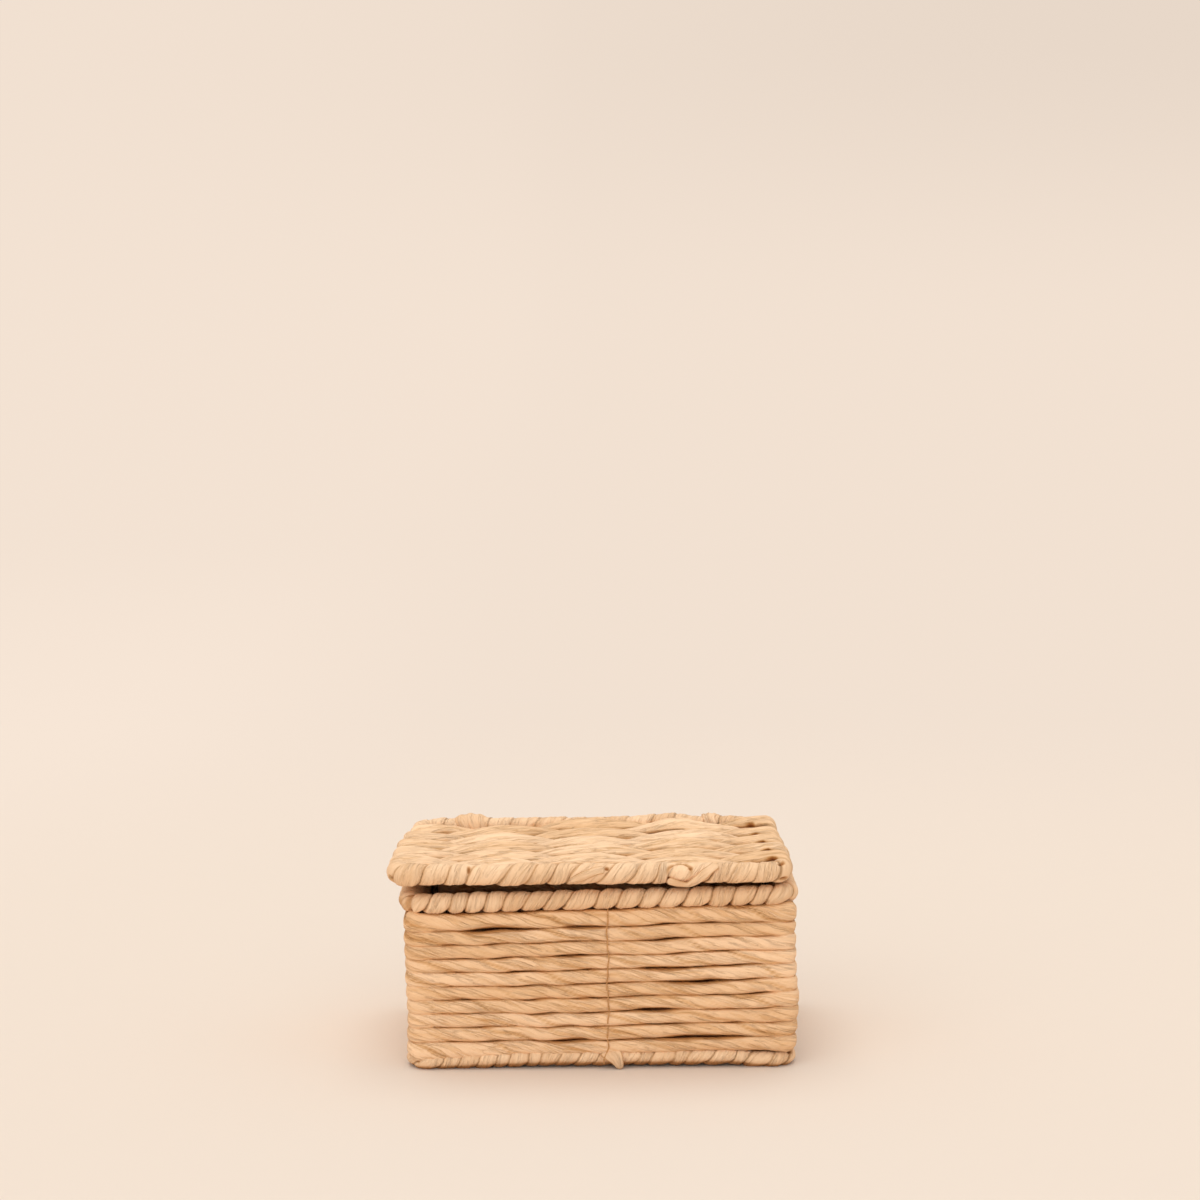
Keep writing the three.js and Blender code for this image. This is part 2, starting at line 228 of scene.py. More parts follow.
class WovenBoxSizes(bpy.types.PropertyGroup):
    """Sizes of the rope, the wraps, the loops and the threads."""

    rope_half_height: metres("Rope half height", "Half the height of a wall row", 0.00229)
    rope_half_depth: metres("Rope half depth", "Half the depth of a wall row", 0.00196)
    rope_lay: FloatProperty(
        name="Rope twist", description="Turn of the rope per metre of its length", default=150.0, min=0.0
    )
    row_count: IntProperty(name="Rows", description="Rows of rope in the wall", default=10, min=2)
    row_low: metres("First row", "Height of the lowest row in the middle of the front", 0.0070)
    row_rise: metres("First row rise", "Rise of the lowest row from left to right", 0.0014)
    row_top_gap: metres("Top row gap", "From the rim wire down to the top row", 0.0064)
    rim_height: metres("Rim height", "Height of the rim wire in the middle", 0.0529)
    rim_rise: metres("Rim rise", "Rise of the rim from left to right", 0.0022)
    rim_radius: metres("Rim wrap radius", "Radius over the wrapped rim", 0.00308)
    rim_pitch: metres("Rim turn width", "Width of a turn of strip on the rim", 0.0066)
    base_radius: metres("Base wrap radius", "Radius over the wrapped base", 0.00262)
    base_pitch: metres("Base turn width", "Width of a turn of strip on the base", 0.0056)
    rail_corner: metres("Wrap corner", "Bend of the wraps at the corners", 0.0049)
    lid_radius: metres("Lid wrap radius", "Radius over the wrapped lid rails", 0.00318)
    lid_pitch: metres("Lid turn width", "Width of a turn of strip on the lid rails", 0.0076)
    weave_half_width: metres("Weave half width", "Half the width of a woven row", 0.00335)
    weave_half_thick: metres("Weave half thickness", "Half the thickness of a woven row", 0.00118)
    loop_half_width: metres("Loop half width", "Half the width of a hinge loop", 0.0049)
    loop_half_thick: metres("Loop half thickness", "Half the thickness of a hinge loop", 0.00050)
    thread_radius: metres("Thread radius", "Radius of the binding threads", 0.00021)


class WovenBoxColours(bpy.types.PropertyGroup):
    """Colours of the paper, the thread, the wire and the stage, the paper's and the thread's shade colours
    being painted shade.
    """

    rope: tint("Rope", "Lit colour of the twisted paper rope", (0.930, 0.603, 0.352))
    # Painted shade colour of the rope's creases and grooves, used for the woven rope too
    rope_shade: tint("Rope creases", "Colour down in the creases of the rope", (0.400, 0.150, 0.036))
    weave: tint("Weave", "Lit colour of the flattened rope of the lid and the floor", (0.940, 0.624, 0.373))
    strip: tint("Strip", "Lit colour of the wrapped paper strip", (0.893, 0.592, 0.356))
    # Painted shade colour of the strip's folds and grooves
    strip_shade: tint("Strip creases", "Colour down in the folds of the strip", (0.400, 0.170, 0.056))
    thread: tint("Thread", "Colour of the binding thread", (0.66, 0.35, 0.145))
    # Painted shade colour between the plies of the thread
    thread_shade: tint("Thread grooves", "Colour between the plies of the thread", (0.45, 0.19, 0.060))
    wire: tint("Wire", "Colour of the drawn frame wire", (0.25, 0.19, 0.13))
    wire_shade: tint("Wire marks", "Colour of the marks on the wire", (0.12, 0.08, 0.05))
    floor: tint("Floor", "Colour of the floor round the box", (0.787, 0.682, 0.588))
    ground: tint("Backdrop", "Colour of the floor and backdrop further away", (0.885, 0.752, 0.640))


def drift(x, seed, period=512):
    """Smooth random value from -1 to 1 that changes once per unit of x."""
    table = np.random.default_rng(seed).uniform(-1.0, 1.0, period)
    whole = np.floor(x).astype(int)
    part = x - whole
    part = part * part * (3.0 - 2.0 * part)
    return table[whole % period] * (1.0 - part) + table[(whole + 1) % period] * part


def ease(x):
    """Smooth step from 0 to 1."""
    x = np.clip(x, 0.0, 1.0)
    return x * x * (3.0 - 2.0 * x)


def drawn_in(a, total, reach, least):
    """Share of a piece's section along it, smaller close to both ends."""
    close = ease(np.minimum(a, 1.0 - a) * total / reach)
    return least + (1.0 - least) * np.sqrt(close)


def squared(angle, power):
    """Cosine and sine of a squared-off round."""
    c = np.cos(angle)
    s = np.sin(angle)
    return np.sign(c) * np.abs(c) ** (2.0 / power), np.sign(s) * np.abs(s) ** (2.0 / power)


def centre_of(node):
    """Middle of a solid's box and half of its sides."""
    low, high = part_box(node)
    low = np.array(low)
    high = np.array(high)
    return (low + high) / 2.0, (high - low) / 2.0


def lid_shift(x, y, edge):
    """How far a place on the lid is moved by its drawn-in rear corners and its uneven rear rail."""
    rear = ease((y - 0.010) / 0.018)
    left = ease((-x - edge + 0.010) / 0.008)
    right = ease((x - edge + 0.013) / 0.010) * ease((y + 0.022) / 0.040)
    wave = REAR_RISE * np.exp(-(((x - 0.027) / 0.009) ** 2)) * ease((LOOP_AT - 0.0040 - x) / 0.006)
    moved = np.outer(rear * left, LEFT_PULL) + np.outer(right, RIGHT_PULL)
    return moved + np.outer(rear * wave, (0.0, 0.0, 1.0))


def base_rise(x):
    """How far the front of the wrapped base stands off the floor at a place along it."""
    return BASE_ARCH * ease((x + 0.056) / 0.040) * ease((0.050 - x) / 0.010)


def rim_level(sizes, x):
    """Height of the rim wire at a place along the front."""
    return sizes.rim_height + sizes.rim_rise * x / WALL_WIDTH


def row_level(sizes, row, x):
    """Height of a wall row at a place along the front."""
    low = sizes.row_low + sizes.row_rise * x / WALL_WIDTH
    high = rim_level(sizes, x) - sizes.row_top_gap
    return low + (high - low) * row / (sizes.row_count - 1)


class Route:
    """A line of points with an outward direction at each, read by its length."""

    def __init__(self, points, outs):
        self.points = np.array(points, float)
        self.outs = np.array(outs, float)
        steps = np.linalg.norm(np.diff(self.points, axis=0), axis=1)
        self.lengths = np.concatenate(([0.0], np.cumsum(steps)))
        self.total = self.lengths[-1]

    def read(self, s):
        """Point and outward direction at each length."""
        point = np.stack([np.interp(s, self.lengths, self.points[:, i]) for i in range(3)], axis=1)
        out = np.stack([np.interp(s, self.lengths, self.outs[:, i]) for i in range(3)], axis=1)
        out /= np.linalg.norm(out, axis=1)[:, None]
        return point, out


def add_corner(cx, cy, bend, start, level, points, outs):
    """Adds a quarter round corner, its outward direction turning from the start angle."""
    for angle in np.radians(np.linspace(start, start + 90.0, CORNER_POINTS)):
        out = np.array([math.cos(angle), math.sin(angle), 0.0])
        x = cx + bend * out[0]
        points.append((x, cy + bend * out[1], level(x)))
        outs.append(out)


def ring_route(half_x, half_y, bend, level):
    """Once round a rounded rectangle, from the middle of the rear to the left, front, right and back."""
    points = [(0.0, half_y, level(0.0))]
    outs = [(0.0, 1.0, 0.0)]
    x = half_x - bend
    y = half_y - bend
    add_corner(-x, y, bend, 90.0, level, points, outs)
    add_corner(-x, -y, bend, 180.0, level, points, outs)
    add_corner(x, -y, bend, 270.0, level, points, outs)
    add_corner(x, y, bend, 0.0, level, points, outs)
    points.append((0.0, half_y, level(0.0)))
    outs.append((0.0, 1.0, 0.0))
    return Route(points, outs)


def skin(name, along, around, shape, ring=False):
    """A closed skin from a grid that a formula maps, with its lay and its tone, painted shade and random
    tint, kept as UV maps.
    """
    bm = bmesh.new()
    bmesh.ops.create_grid(bm, x_segments=along, y_segments=around, size=0.5)
    mesh = bpy.data.meshes.new(name)
    bm.to_mesh(mesh)
    bm.free()
    flat = np.empty(len(mesh.vertices) * 3)
    mesh.vertices.foreach_get("co", flat)
    flat = flat.reshape(-1, 3) + 0.5
    points, lay, tone = shape(flat[:, 0], flat[:, 1])
    corner = np.empty(len(mesh.loops), dtype=np.int32)
    mesh.loops.foreach_get("vertex_index", corner)
    for label, values in (("Lay", lay), ("Tone", tone)):
        layer = mesh.uv_layers.new(name=label)
        layer.uv.foreach_set("vector", values[corner].astype(np.float32).ravel())
    mesh.vertices.foreach_set("co", points.astype(np.float32).ravel())
    bm = bmesh.new()
    bm.from_mesh(mesh)
    bmesh.ops.remove_doubles(bm, verts=bm.verts[:], dist=2e-6)
    if not ring:
        open_edges = [edge for edge in bm.edges if edge.is_boundary]
        bmesh.ops.holes_fill(bm, edges=open_edges, sides=0)
    bmesh.ops.recalc_face_normals(bm, faces=bm.faces[:])
    for face in bm.faces:
        face.smooth = True
    bm.to_mesh(mesh)
    bm.free()
    piece = bpy.data.objects.new(name, mesh)
    bpy.context.scene.collection.objects.link(piece)
    return piece


def wound(name, length, around, shape, ring=False):
    """A skin of a wound or woven piece, with faces of the length that the table gives."""
    return skin(name, int(length / FACE_LENGTH[name]), around, shape, ring)


def place(piece, body, material, nodes):
    """Dresses a piece, joins it to its body and hides the solids that it stands for."""
    piece.data.materials.append(material)
    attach(piece, body)
    if nodes:
        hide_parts(*nodes)


def twist_ridges(angle, s, seed):
    """Ridges of the plies in a twisted rope, about -1 to 1."""
    a = np.sin(3.0 * angle + 2.0 * drift(s / 0.021, seed))
    b = np.sin(5.0 * angle + 2.5 * drift(s / 0.013, seed + 1))
    c = np.sin(8.0 * angle + 3.0 * drift(s / 0.009, seed + 2))
    return 0.5 * a + 0.32 * b + 0.28 * c


def twist_fold(angle, s, seed):
    """Depth, 0 to 1, of the long folds that run round a twisted rope."""
    swing = angle + 0.9 * drift(s / 0.017, seed) + 0.4 * drift(s / 0.006, seed + 1)
    near = np.abs(np.mod(swing / math.pi, 1.0) - 0.5) * math.pi
    share = 0.55 + 0.45 * drift(s / 0.015, seed + 2)
    return np.exp(-((near / 0.20) ** 2)) * np.clip(share, 0.0, 1.0)


def rope_rows(sizes, around, s):
    """Row of the wall rope at each length, climbing along the rear, and how slim its two ends are."""
    nearest = np.round(s / around)
    past = s - nearest * around
    climb = ease((past + CLIMB_HALF) / (2.0 * CLIMB_HALF))
    first = nearest < 0.5
    last = nearest > sizes.row_count - 0.5
    row = np.where(np.abs(past) < CLIMB_HALF, nearest - 1.0 + climb, np.floor(s / around))
    row = np.where(first, (climb - 1.0) / 2.0, row)
    row = np.where(last, sizes.row_count - 1.0 + climb / 2.0, row)
    slim = np.clip(np.where(first, climb, np.where(last, 1.0 - climb, 1.0)), 0.1, 1.0)
    return row, slim


def slit_cuts(x, front, whole):
    """How deep the dark slits of the front cut into the top and the bottom of each row."""
    top_cut = np.zeros_like(x)
    low_cut = np.zeros_like(x)
    for lower, spot, reach, depth in FRONT_SLITS:
        cut = depth * front * np.exp(-(((x - spot) / reach) ** 4))
        top_cut += np.where(whole == lower, cut, 0.0)
        low_cut += np.where(whole == lower + 1, cut, 0.0)
    return top_cut, low_cut


def rope_sway(s, out, bend, row, top_row):
    """How far the wall rope stands out of line, mostly at the corners and on the right."""
    sway = 0.00018 * drift(s / 0.023, 15) + 0.00012 * drift(s / 0.009, 16)
    sway += 0.00052 * bend * (0.7 + 0.9 * drift(s / 0.031, 20))
    sway += 0.00060 * np.abs(out[:, 0]) * (row / top_row - 0.3)
    right = np.clip(out[:, 0], 0.0, 1.0)
    return sway + 0.0013 * right * np.exp(-(((row - 2.5) / 2.8) ** 2))


def wall_rope_shape(sizes, middle, half):
    """Formula of the rope that winds round the wall, climbing a row along the rear."""
    ring = ring_route(half[0] - ROPE_IN, half[1] - ROPE_IN, ROPE_BEND, level_rail)
    start = -ROPE_TAIL
    end = sizes.row_count * ring.total + ROPE_TAIL
    top_row = sizes.row_count - 1

    def shape(a, b):
        s = start + (end - start) * a
        turn = math.pi + 2.0 * math.pi * b
        point, out = ring.read(np.mod(s, ring.total))
        x = point[:, 0]
        row, slim = rope_rows(sizes, ring.total, s)
        whole = np.clip(np.round(row), 0, top_row).astype(int)

        # How much each place belongs to the front, to any side but the rear, and to a corner
        front = ease((-out[:, 1] - 0.3) / 0.5)
        facing = ease((0.6 - out[:, 1]) / 0.5)
        bend = np.clip(4.0 * (out[:, 0] * out[:, 1]) ** 2, 0.0, 1.0)

        # Half heights over and under the rope's middle, and its half depth
        top_cut, low_cut = slit_cuts(x, front, whole)
        loose = 0.00010 * facing * np.clip(drift(s / 0.019, 11) - 0.25, 0.0, 1.0)
        snug = 0.00018 * (1.0 - facing) + 0.00026 * ease((np.abs(x) - 0.045) / 0.012)
        top = sizes.rope_half_height * (1.0 + 0.055 * drift(s / 0.012, 12) + 0.08 * bend) - loose - top_cut
        top += snug + np.where(whole == top_row, 0.00090 - 0.0012 * x + 0.0007 * bend, 0.0)
        top *= slim
        low = sizes.rope_half_height * (1.0 + 0.055 * drift(s / 0.013, 13) + 0.08 * bend) - low_cut
        low += np.where(whole == 0, 0.0016 * front * ease((-x - 0.005) / 0.045), 0.0)
        low = (low + snug) * slim
        deep = sizes.rope_half_depth * (1.0 + 0.06 * drift(s / 0.011, 14)) * (0.6 + 0.4 * slim)

        # Twisted section
        twisted = turn + sizes.rope_lay * s
        ridge = twist_ridges(twisted, s, 21)
        fold = twist_fold(twisted, s, 26)
        swell = drawn_in(a, end - start, 0.0016, 0.25) * (1.0 + 0.062 * ridge - 0.20 * fold)
        c, v = squared(turn, ROPE_SQUARE)
        shut = 0.50 * (1.0 - ease((c - 0.05) / 0.55))
        rise = np.where(v > 0.0, top + shut * top_cut, low + shut * low_cut) * v * swell

        # Place in the wall, with rows that bob up and down
        rounds = s / ring.total
        bob = 0.00036 * drift(18.3 * rounds, 17, 18) + 0.00026 * drift(49.4 * rounds, 18, 49)
        reach_out = deep * c * swell + rope_sway(s, out, bend, row, top_row)
        where = point + out * reach_out[:, None]
        where[:, 2] = row_level(sizes, row, x) + bob + rise
        where[:, 0] += middle[0]
        where[:, 1] += middle[1]

        # Painted shade in the grooves between the rows and in the ridges and folds, fainter at the corners
        # and at the ends of the front rows
        shade_mask = np.clip((np.abs(np.sin(turn)) - 0.74) / 0.26, 0.0, 1.0) ** 1.6
        shade_mask *= 1.5 - 1.15 * np.maximum(bend, front * ease((np.abs(x) - 0.046) / 0.010))
        shade_mask = np.maximum(shade_mask, 0.30 * np.clip(-ridge - 0.35, 0.0, 1.0))
        shade_mask = np.maximum(shade_mask, 0.85 * fold)
        lay = np.stack([s, b], axis=1)
        tone = np.stack([shade_mask, 0.5 + 0.5 * drift(s / 0.045, 19)], axis=1)
        return where, lay, tone

    return shape, end - start


def strip_marks(length, pitch, seed, marks, spread):
    """Places along a rail where each turn of strip starts, with those that are given kept."""
    first = marks[0] if marks else length
    before = max(round(first / pitch), 1)
    spots = [first * i / before for i in range(before)]
    fixed = len(spots)
    if marks:
        rest = length - marks[-1]
        after = max(round(rest / pitch), 1)
        spots += marks
        spots += [marks[-1] + rest * (i + 1) / after for i in range(after)]
    else:
        spots.append(length)
    shake = np.random.default_rng(seed).uniform(-spread, spread, len(spots)) * pitch
    for i in range(1, len(spots) - 1):
        if i < fixed or i >= fixed + len(marks):
            spots[i] += shake[i]
    return np.array(spots)


def even(s, turn):
    """Grooves between turns of strip kept as they are."""
    return 1.0


def level_rail(s):
    """A rail that is not raised."""
    return 0.0


def pad_marks(pads, s, turn, radius):
    """Height and painted shade of the bumps and dents on a wrap, and how much the bumps cover its grooves."""
    bump = np.zeros_like(s)
    painted_shade = np.zeros_like(s)
    cover = np.zeros_like(s)
    for spot, up, half_s, half_up, height, ring_depth, shade_weight in pads:
        off_s = (s - spot) / half_s
        off_up = (turn - up) * radius / half_up
        near = np.hypot(off_s, off_up)
        inside = np.exp(-(near**4))
        edge = np.exp(-(((near - 1.10) / 0.14) ** 2)) * (ring_depth > 0.0)
        edge *= np.clip(0.35 + 0.85 * off_up / np.maximum(near, 0.1), 0.12, 1.0)
        bump += height * inside - ring_depth * edge
        # Painted shade fills each dent and rings the edge of each bump
        painted_shade = np.maximum(painted_shade, shade_weight * (edge if height > 0.0 else inside))
        if height > 0.0:
            cover = np.maximum(cover, inside)
    return bump, painted_shade, cover


def wrap_shape(
    route, radius, pitch, seed, depth, plumpness, shift,
    marks=(), bulges=(), ring=False, floor=None, pads=(), spread=0.2,
    soft=even, broad=1.0, raised=level_rail,
):
    """Formula of a strip wound round a rail in leaning turns."""
    spots = strip_marks(route.total, pitch, seed, list(marks), spread)
    turns = len(spots) - 1
    counts = np.arange(turns + 1.0)
    leans = int(route.total / 0.0085)
    period = turns if ring else 512

    def shape(a, b):
        s = a * route.total
        turn = 2.0 * math.pi * b - math.pi
        point, out = route.read(s)

        # Which turn of the strip, and how far across it
        lean = drift(s / route.total * leans, seed + 8, leans)
        count = np.interp(s, spots, counts) - b + 0.5 + 0.11 * lean * np.sin(turn)
        whole = np.floor(count)
        part = count - whole
        strip = np.mod(whole + b, turns) if ring else whole + b + 8.0

        # Crumpled radius with grooves between the turns
        bump, painted_shade, cover = pad_marks(pads, s, turn, radius)
        plump = np.maximum(1.0 - np.abs(2.0 * part - 1.0) ** plumpness, cover)
        lift = drift(strip, seed + 3, period)
        crumple = np.sin(2.0 * math.pi * 2.0 * part + 3.0 * drift(strip * 2.0, seed + 4, 2 * period))
        crumple += 0.7 * np.sin(2.0 * math.pi * 5.0 * part + 4.0 * drift(strip * 2.0, seed + 5, 2 * period))
        knead = drift(strip * 5.0, seed + 6, 5 * period)
        gentle = soft(s, turn)
        r = radius * (1.0 + 0.04 * lift) - depth * gentle * (1.0 - plump) * (1.0 + 0.45 * knead) + bump
        r += 0.00030 * (0.5 - part) + 0.00006 * crumple * plump + 0.00009 * knead
        for spot, reach, extra in bulges:
            r += extra * np.exp(-(((count - spot) / reach) ** 4))
        if not ring:
            r = r * drawn_in(a, route.total, 0.0019, 0.30)

        # Place on the rail, pressed flat where it stands on the floor, with painted shade on the underside
        # there
        reach = broad * r * np.cos(turn)
        if floor is not None:
            low = np.clip(-np.sin(turn), 0.0, 1.0)
            reach *= 1.0 - 0.16 * low - 0.52 * low**2
            painted_shade = np.maximum(painted_shade, 1.7 * ease((low - 0.24) / 0.44))
        where = point + out * reach[:, None]
        where[:, 2] += r * np.sin(turn) + raised(s)
        if floor is not None:
            under = np.clip(floor - where[:, 2], 0.0, 1.0)
            where[:, 2] = where[:, 2] + under * 0.999
        where += shift
        # Painted shade in the grooves between the turns, as strong as the grooves are deep, with the pads'
        # and the underside's painted shade
        shade_mask = np.maximum(gentle * np.clip((0.6 - plump) / 0.6, 0.0, 1.0) ** 1.4, painted_shade)
        lay = np.stack([(whole + b) * 2.0 * math.pi * radius, count * pitch], axis=1)
        tone = np.stack([shade_mask, 0.5 + 0.5 * drift(strip, seed + 7, period)], axis=1)
        return where, lay, tone

    return shape


def weave_route(wires, lifts, first, pitch, rows):
    """Middle line of a rope woven over and under wires, row after row, with its height over each wire."""
    points = []
    heights = []
    for row in range(rows):
        right = row % 2 == 0
        y = first + pitch * (row + 0.5)
        order = list(range(len(wires))) if right else list(range(len(wires)))[::-1]
        signs = [(-1.0 if j % 2 == 0 else 1.0) * (1.0 if right else -1.0) for j in range(len(wires))]
        if row == 0:
            for angle in np.linspace(0.62 * math.pi, 0.0, 10, endpoint=False):
                points.append((wires[0] - lifts[0] * math.sin(angle), y, -lifts[0] * math.cos(angle)))
                heights.append(-math.cos(angle))
        for here, after in zip(order[:-1], order[1:]):
            for t in np.linspace(0.0, 1.0, 30, endpoint=False):
                blend = (1.0 + math.cos(math.pi * t)) / 2.0
                z = signs[here] * lifts[here] * blend + signs[after] * lifts[after] * (1.0 - blend)
                points.append((wires[here] + (wires[after] - wires[here]) * t, y, z))
                heights.append(signs[here] * blend + signs[after] * (1.0 - blend))
        edge = wires[-1] if right else wires[0]
        away = 1.0 if right else -1.0
        lift = lifts[0]
        if row < rows - 1:
            for t in np.linspace(0.0, 1.0, 16, endpoint=False):
                angle = math.pi * t
                slide = (1.0 - math.cos(angle)) / 2.0
                z = -away * lift * math.cos(angle)
                points.append((edge + away * lift * math.sin(angle), y + pitch * slide, z))
                heights.append(-away * math.cos(angle))
        else:
            for angle in np.linspace(0.0, 0.55 * math.pi, 11):
                points.append((edge + away * lift * math.sin(angle), y, lift * math.cos(angle)))
                heights.append(math.cos(angle))
    return np.array(points), np.array(heights)


def rear_lean(x, y, edge, fuller):
    """How far the last woven rows lean over the rear rail, which they leave free at the hinge loops."""
    clear = 1.0 - np.exp(-(((np.abs(x) - LOOP_AT) / 0.0062) ** 4))
    back = 0.0030 * fuller * ease((y - 0.016) / 0.013) * clear
    back *= 1.0 - ease((-x - edge + 0.018) / 0.010)
    return back - 0.0013 * fuller * ease((y - 0.024) / 0.005) * np.exp(-(((x - LOOP_AT) / 0.0062) ** 4))


def weave_shape(sizes, wires, lifts, first, pitch, rows, shift, seed, fuller):
    """Formula of a flattened rope woven over and under wires."""
    points, heights = weave_route(wires, lifts, first, pitch, rows)
    steps = np.linalg.norm(np.diff(points, axis=0), axis=1)
    lengths = np.concatenate(([0.0], np.cumsum(steps)))
    slope = np.gradient(points[:, [0, 2]], axis=0)
    slope /= np.linalg.norm(slope, axis=1)[:, None]
    total = lengths[-1]
    edge = abs(wires[-1])

    def shape(a, b):
        s = a * total
        turn = 2.0 * math.pi * b
        x, y, z = (np.interp(s, lengths, points[:, i]) for i in range(3))
        normal_x = -np.interp(s, lengths, slope[:, 1])
        normal_z = np.interp(s, lengths, slope[:, 0])
        high = np.interp(s, lengths, heights)

        # Half width and half thickness, with a pinch at the slits along the right rail
        inside = 1.0 - 0.42 * ease((x - edge + 0.011) / 0.009) * fuller
        slit = x - edge + 0.0030 + 0.0012 * y / 0.035 + 0.0008 * drift(s / 0.020, seed + 9)
        slit /= np.where(slit < 0.0, 0.0021, 0.0007)
        pinch = fuller * np.exp(-(slit**2)) * np.clip(high, 0.0, 1.0)
        outer = ease((np.abs(x) - edge + 0.0006) / 0.0016)
        lying = np.maximum(np.abs(high) ** 1.2, 0.95 * outer)
        wide = sizes.weave_half_width * (1.0 + fuller * inside * lying)
        wide *= (1.0 + 0.13 * drift(s / 0.010, seed)) * (1.0 - 0.22 * pinch)
        thick = sizes.weave_half_thick * (1.0 + 0.35 * fuller * inside * (1.0 - lying))
        thick *= 1.0 + 0.13 * drift(s / 0.008, seed + 1)

        # Twisted section, its edges drooping over the rows beside it
        grow = drawn_in(a, total, 0.0018, 0.3)
        ridge = twist_ridges(turn + WEAVE_TWIST * sizes.rope_lay * s, s, seed + 2)
        c, v = squared(turn, 2.1)
        droop = -high * fuller * inside * 0.0011 * c * c
        side = wide * c * grow * (1.0 + 0.02 * ridge) + 0.00045 * drift(s / 0.014, seed + 5)
        up = thick * v * grow * (1.0 + 0.27 * ridge)

        # Place in the weave, warped up towards the rear right
        warp = 0.0011 * fuller * x / 0.06 * (y / 0.04 + 1.0) / 2.0
        tall = z + normal_z * up + droop + warp
        deep = y + side + rear_lean(x, y, edge, fuller)
        where = np.stack([x + normal_x * up, deep, tall], axis=1) + shift
        where += lid_shift(x, y, edge) * (fuller == 1.0)

        # Painted shade on the edges, in the ridges, on the dips under the wires and in the slits
        shade_mask = 0.45 * np.clip((np.abs(np.cos(turn)) - 0.80) / 0.20, 0.0, 1.0) ** 1.3
        shade_mask = np.maximum(shade_mask, 0.25 * np.clip(-ridge - 0.3, 0.0, 1.0))
        under = np.clip((-high - 0.55) / 0.45, 0.0, 1.0) * ease(v * normal_z)
        shade_mask = np.maximum(shade_mask, 0.35 * fuller * under)
        shade_mask = np.maximum(shade_mask, 3.4 * pinch * ease((-c - 0.76) / 0.22))
        lay = np.stack([s, b], axis=1)
        tone = np.stack([shade_mask, 0.5 + 0.5 * drift(s / 0.035, seed + 6)], axis=1)
        return where, lay, tone

    return shape, total


def sweep_shape(
    route, side, half_wide, half_thick, seed, rough,
    ring=False, power=2.4, ribs=0.12, droop=0.0, taper=0.0,
):
    """Formula of a flat strip or thread along a route, its width along a side direction."""
    total = route.total

    def shape(a, b):
        s = a * total
        turn = 2.0 * math.pi * b
        point, out = route.read(s)
        across = side(s, out)
        c, v = squared(turn, power)
        span = s / total * 9.0
        wave = drift(span, seed, 9) if ring else drift(s / 0.003, seed)
        grow = 1.0 if ring else drawn_in(a, total, 0.0008, 0.35)
        wide = half_wide * grow * (1.0 + rough * wave) * (1.0 - taper * a)
        rib = ribs * np.cos(3.0 * math.pi * c + 2.0 * wave) * (half_wide > 2.0 * half_thick)
        knead = drift(span * 2.0, seed + 1, 18) if ring else drift(s / 0.002, seed + 1)
        thick = half_thick * grow * (1.0 + rib + rough * knead)
        where = point + across * (wide * c)[:, None] + out * (thick * v - droop * c * c)[:, None]
        # Painted shade along both edges, fainter on closed rings
        shade_mask = np.clip((np.abs(c) - 0.80) / 0.20, 0.0, 1.0) * (0.3 if ring else 1.0)
        lay = np.stack([s, (c * half_wide) + 0.01 * seed], axis=1)
        tone = np.stack([shade_mask, 0.5 + 0.5 * wave], axis=1)
        return where, lay, tone

    return shape


def fixed_side(direction):
    """One direction across a strip, thread or wire, the same all along it."""
    return lambda s, out: np.repeat(np.array([direction]), len(s), axis=0)


def across_route(route):
    """Direction across a strip that lies along a route."""

    def side(s, out):
        ahead = route.read(np.clip(s + 0.0002, 0.0, route.total))[0]
        back = route.read(np.clip(s - 0.0002, 0.0, route.total))[0]
        across = np.cross(ahead - back, out)
        return across / np.linalg.norm(across, axis=1)[:, None]

    return side


class Tree:
    """Adds nodes to a node tree and joins them."""

    def __init__(self, tree):
        self.nodes = tree.nodes
        self.links = tree.links

    def add(self, kind):
        """A new node."""
        return self.nodes.new("ShaderNode" + kind)

    def join(self, source, target):
        """Links an output to an input."""
        self.links.new(source, target)

    def math(self, operation, first, second=None, clamp=False):
        """A Math node fed by sockets or plain numbers."""
        node = self.add("Math")
        node.operation = operation
        node.use_clamp = clamp
        for slot, value in enumerate((first, second)):
            if value is None:
                continue
            if isinstance(value, (int, float)):
                node.inputs[slot].default_value = value
            else:
                self.join(value, node.inputs[slot])
        return node.outputs[0]

    def spread(self, value, from_low, from_high, to_low, to_high):
        """A Map Range node with eased ends."""
        node = self.add("MapRange")
        node.interpolation_type = "SMOOTHSTEP"
        for slot, number in enumerate((from_low, from_high, to_low, to_high)):
            node.inputs[slot + 1].default_value = number
        self.join(value, node.inputs[0])
        return node.outputs[0]

    def noise(self, vector, scale, detail, rough=0.5):
        """A noise texture read at a vector."""
        node = self.add("TexNoise")
        node.inputs["Scale"].default_value = scale
        node.inputs["Detail"].default_value = detail
        node.inputs["Roughness"].default_value = rough
        self.join(vector, node.inputs["Vector"])
        return node.outputs[0]

    def from_half(self, value):
        """How far a value lies from a half."""
        return self.math("ABSOLUTE", self.math("SUBTRACT", value, 0.5))

    def pair(self, label):
        """The two numbers kept in a UV map."""
        uv = self.add("UVMap")
        uv.uv_map = label
        split = self.add("SeparateXYZ")
        self.join(uv.outputs[0], split.inputs[0])
        return split.outputs[0], split.outputs[1]

    def vector(self, *values):
        """A vector from sockets."""
        node = self.add("CombineXYZ")
        for slot, value in enumerate(values):
            self.join(value, node.inputs[slot])
        return node.outputs[0]

    def bump(self, height, strength, distance, target):
        """A Bump node that feeds a shader's normal."""
        node = self.add("Bump")
        node.inputs["Strength"].default_value = strength
        node.inputs["Distance"].default_value = distance
        self.join(height, node.inputs["Height"])
        self.join(node.outputs[0], target)


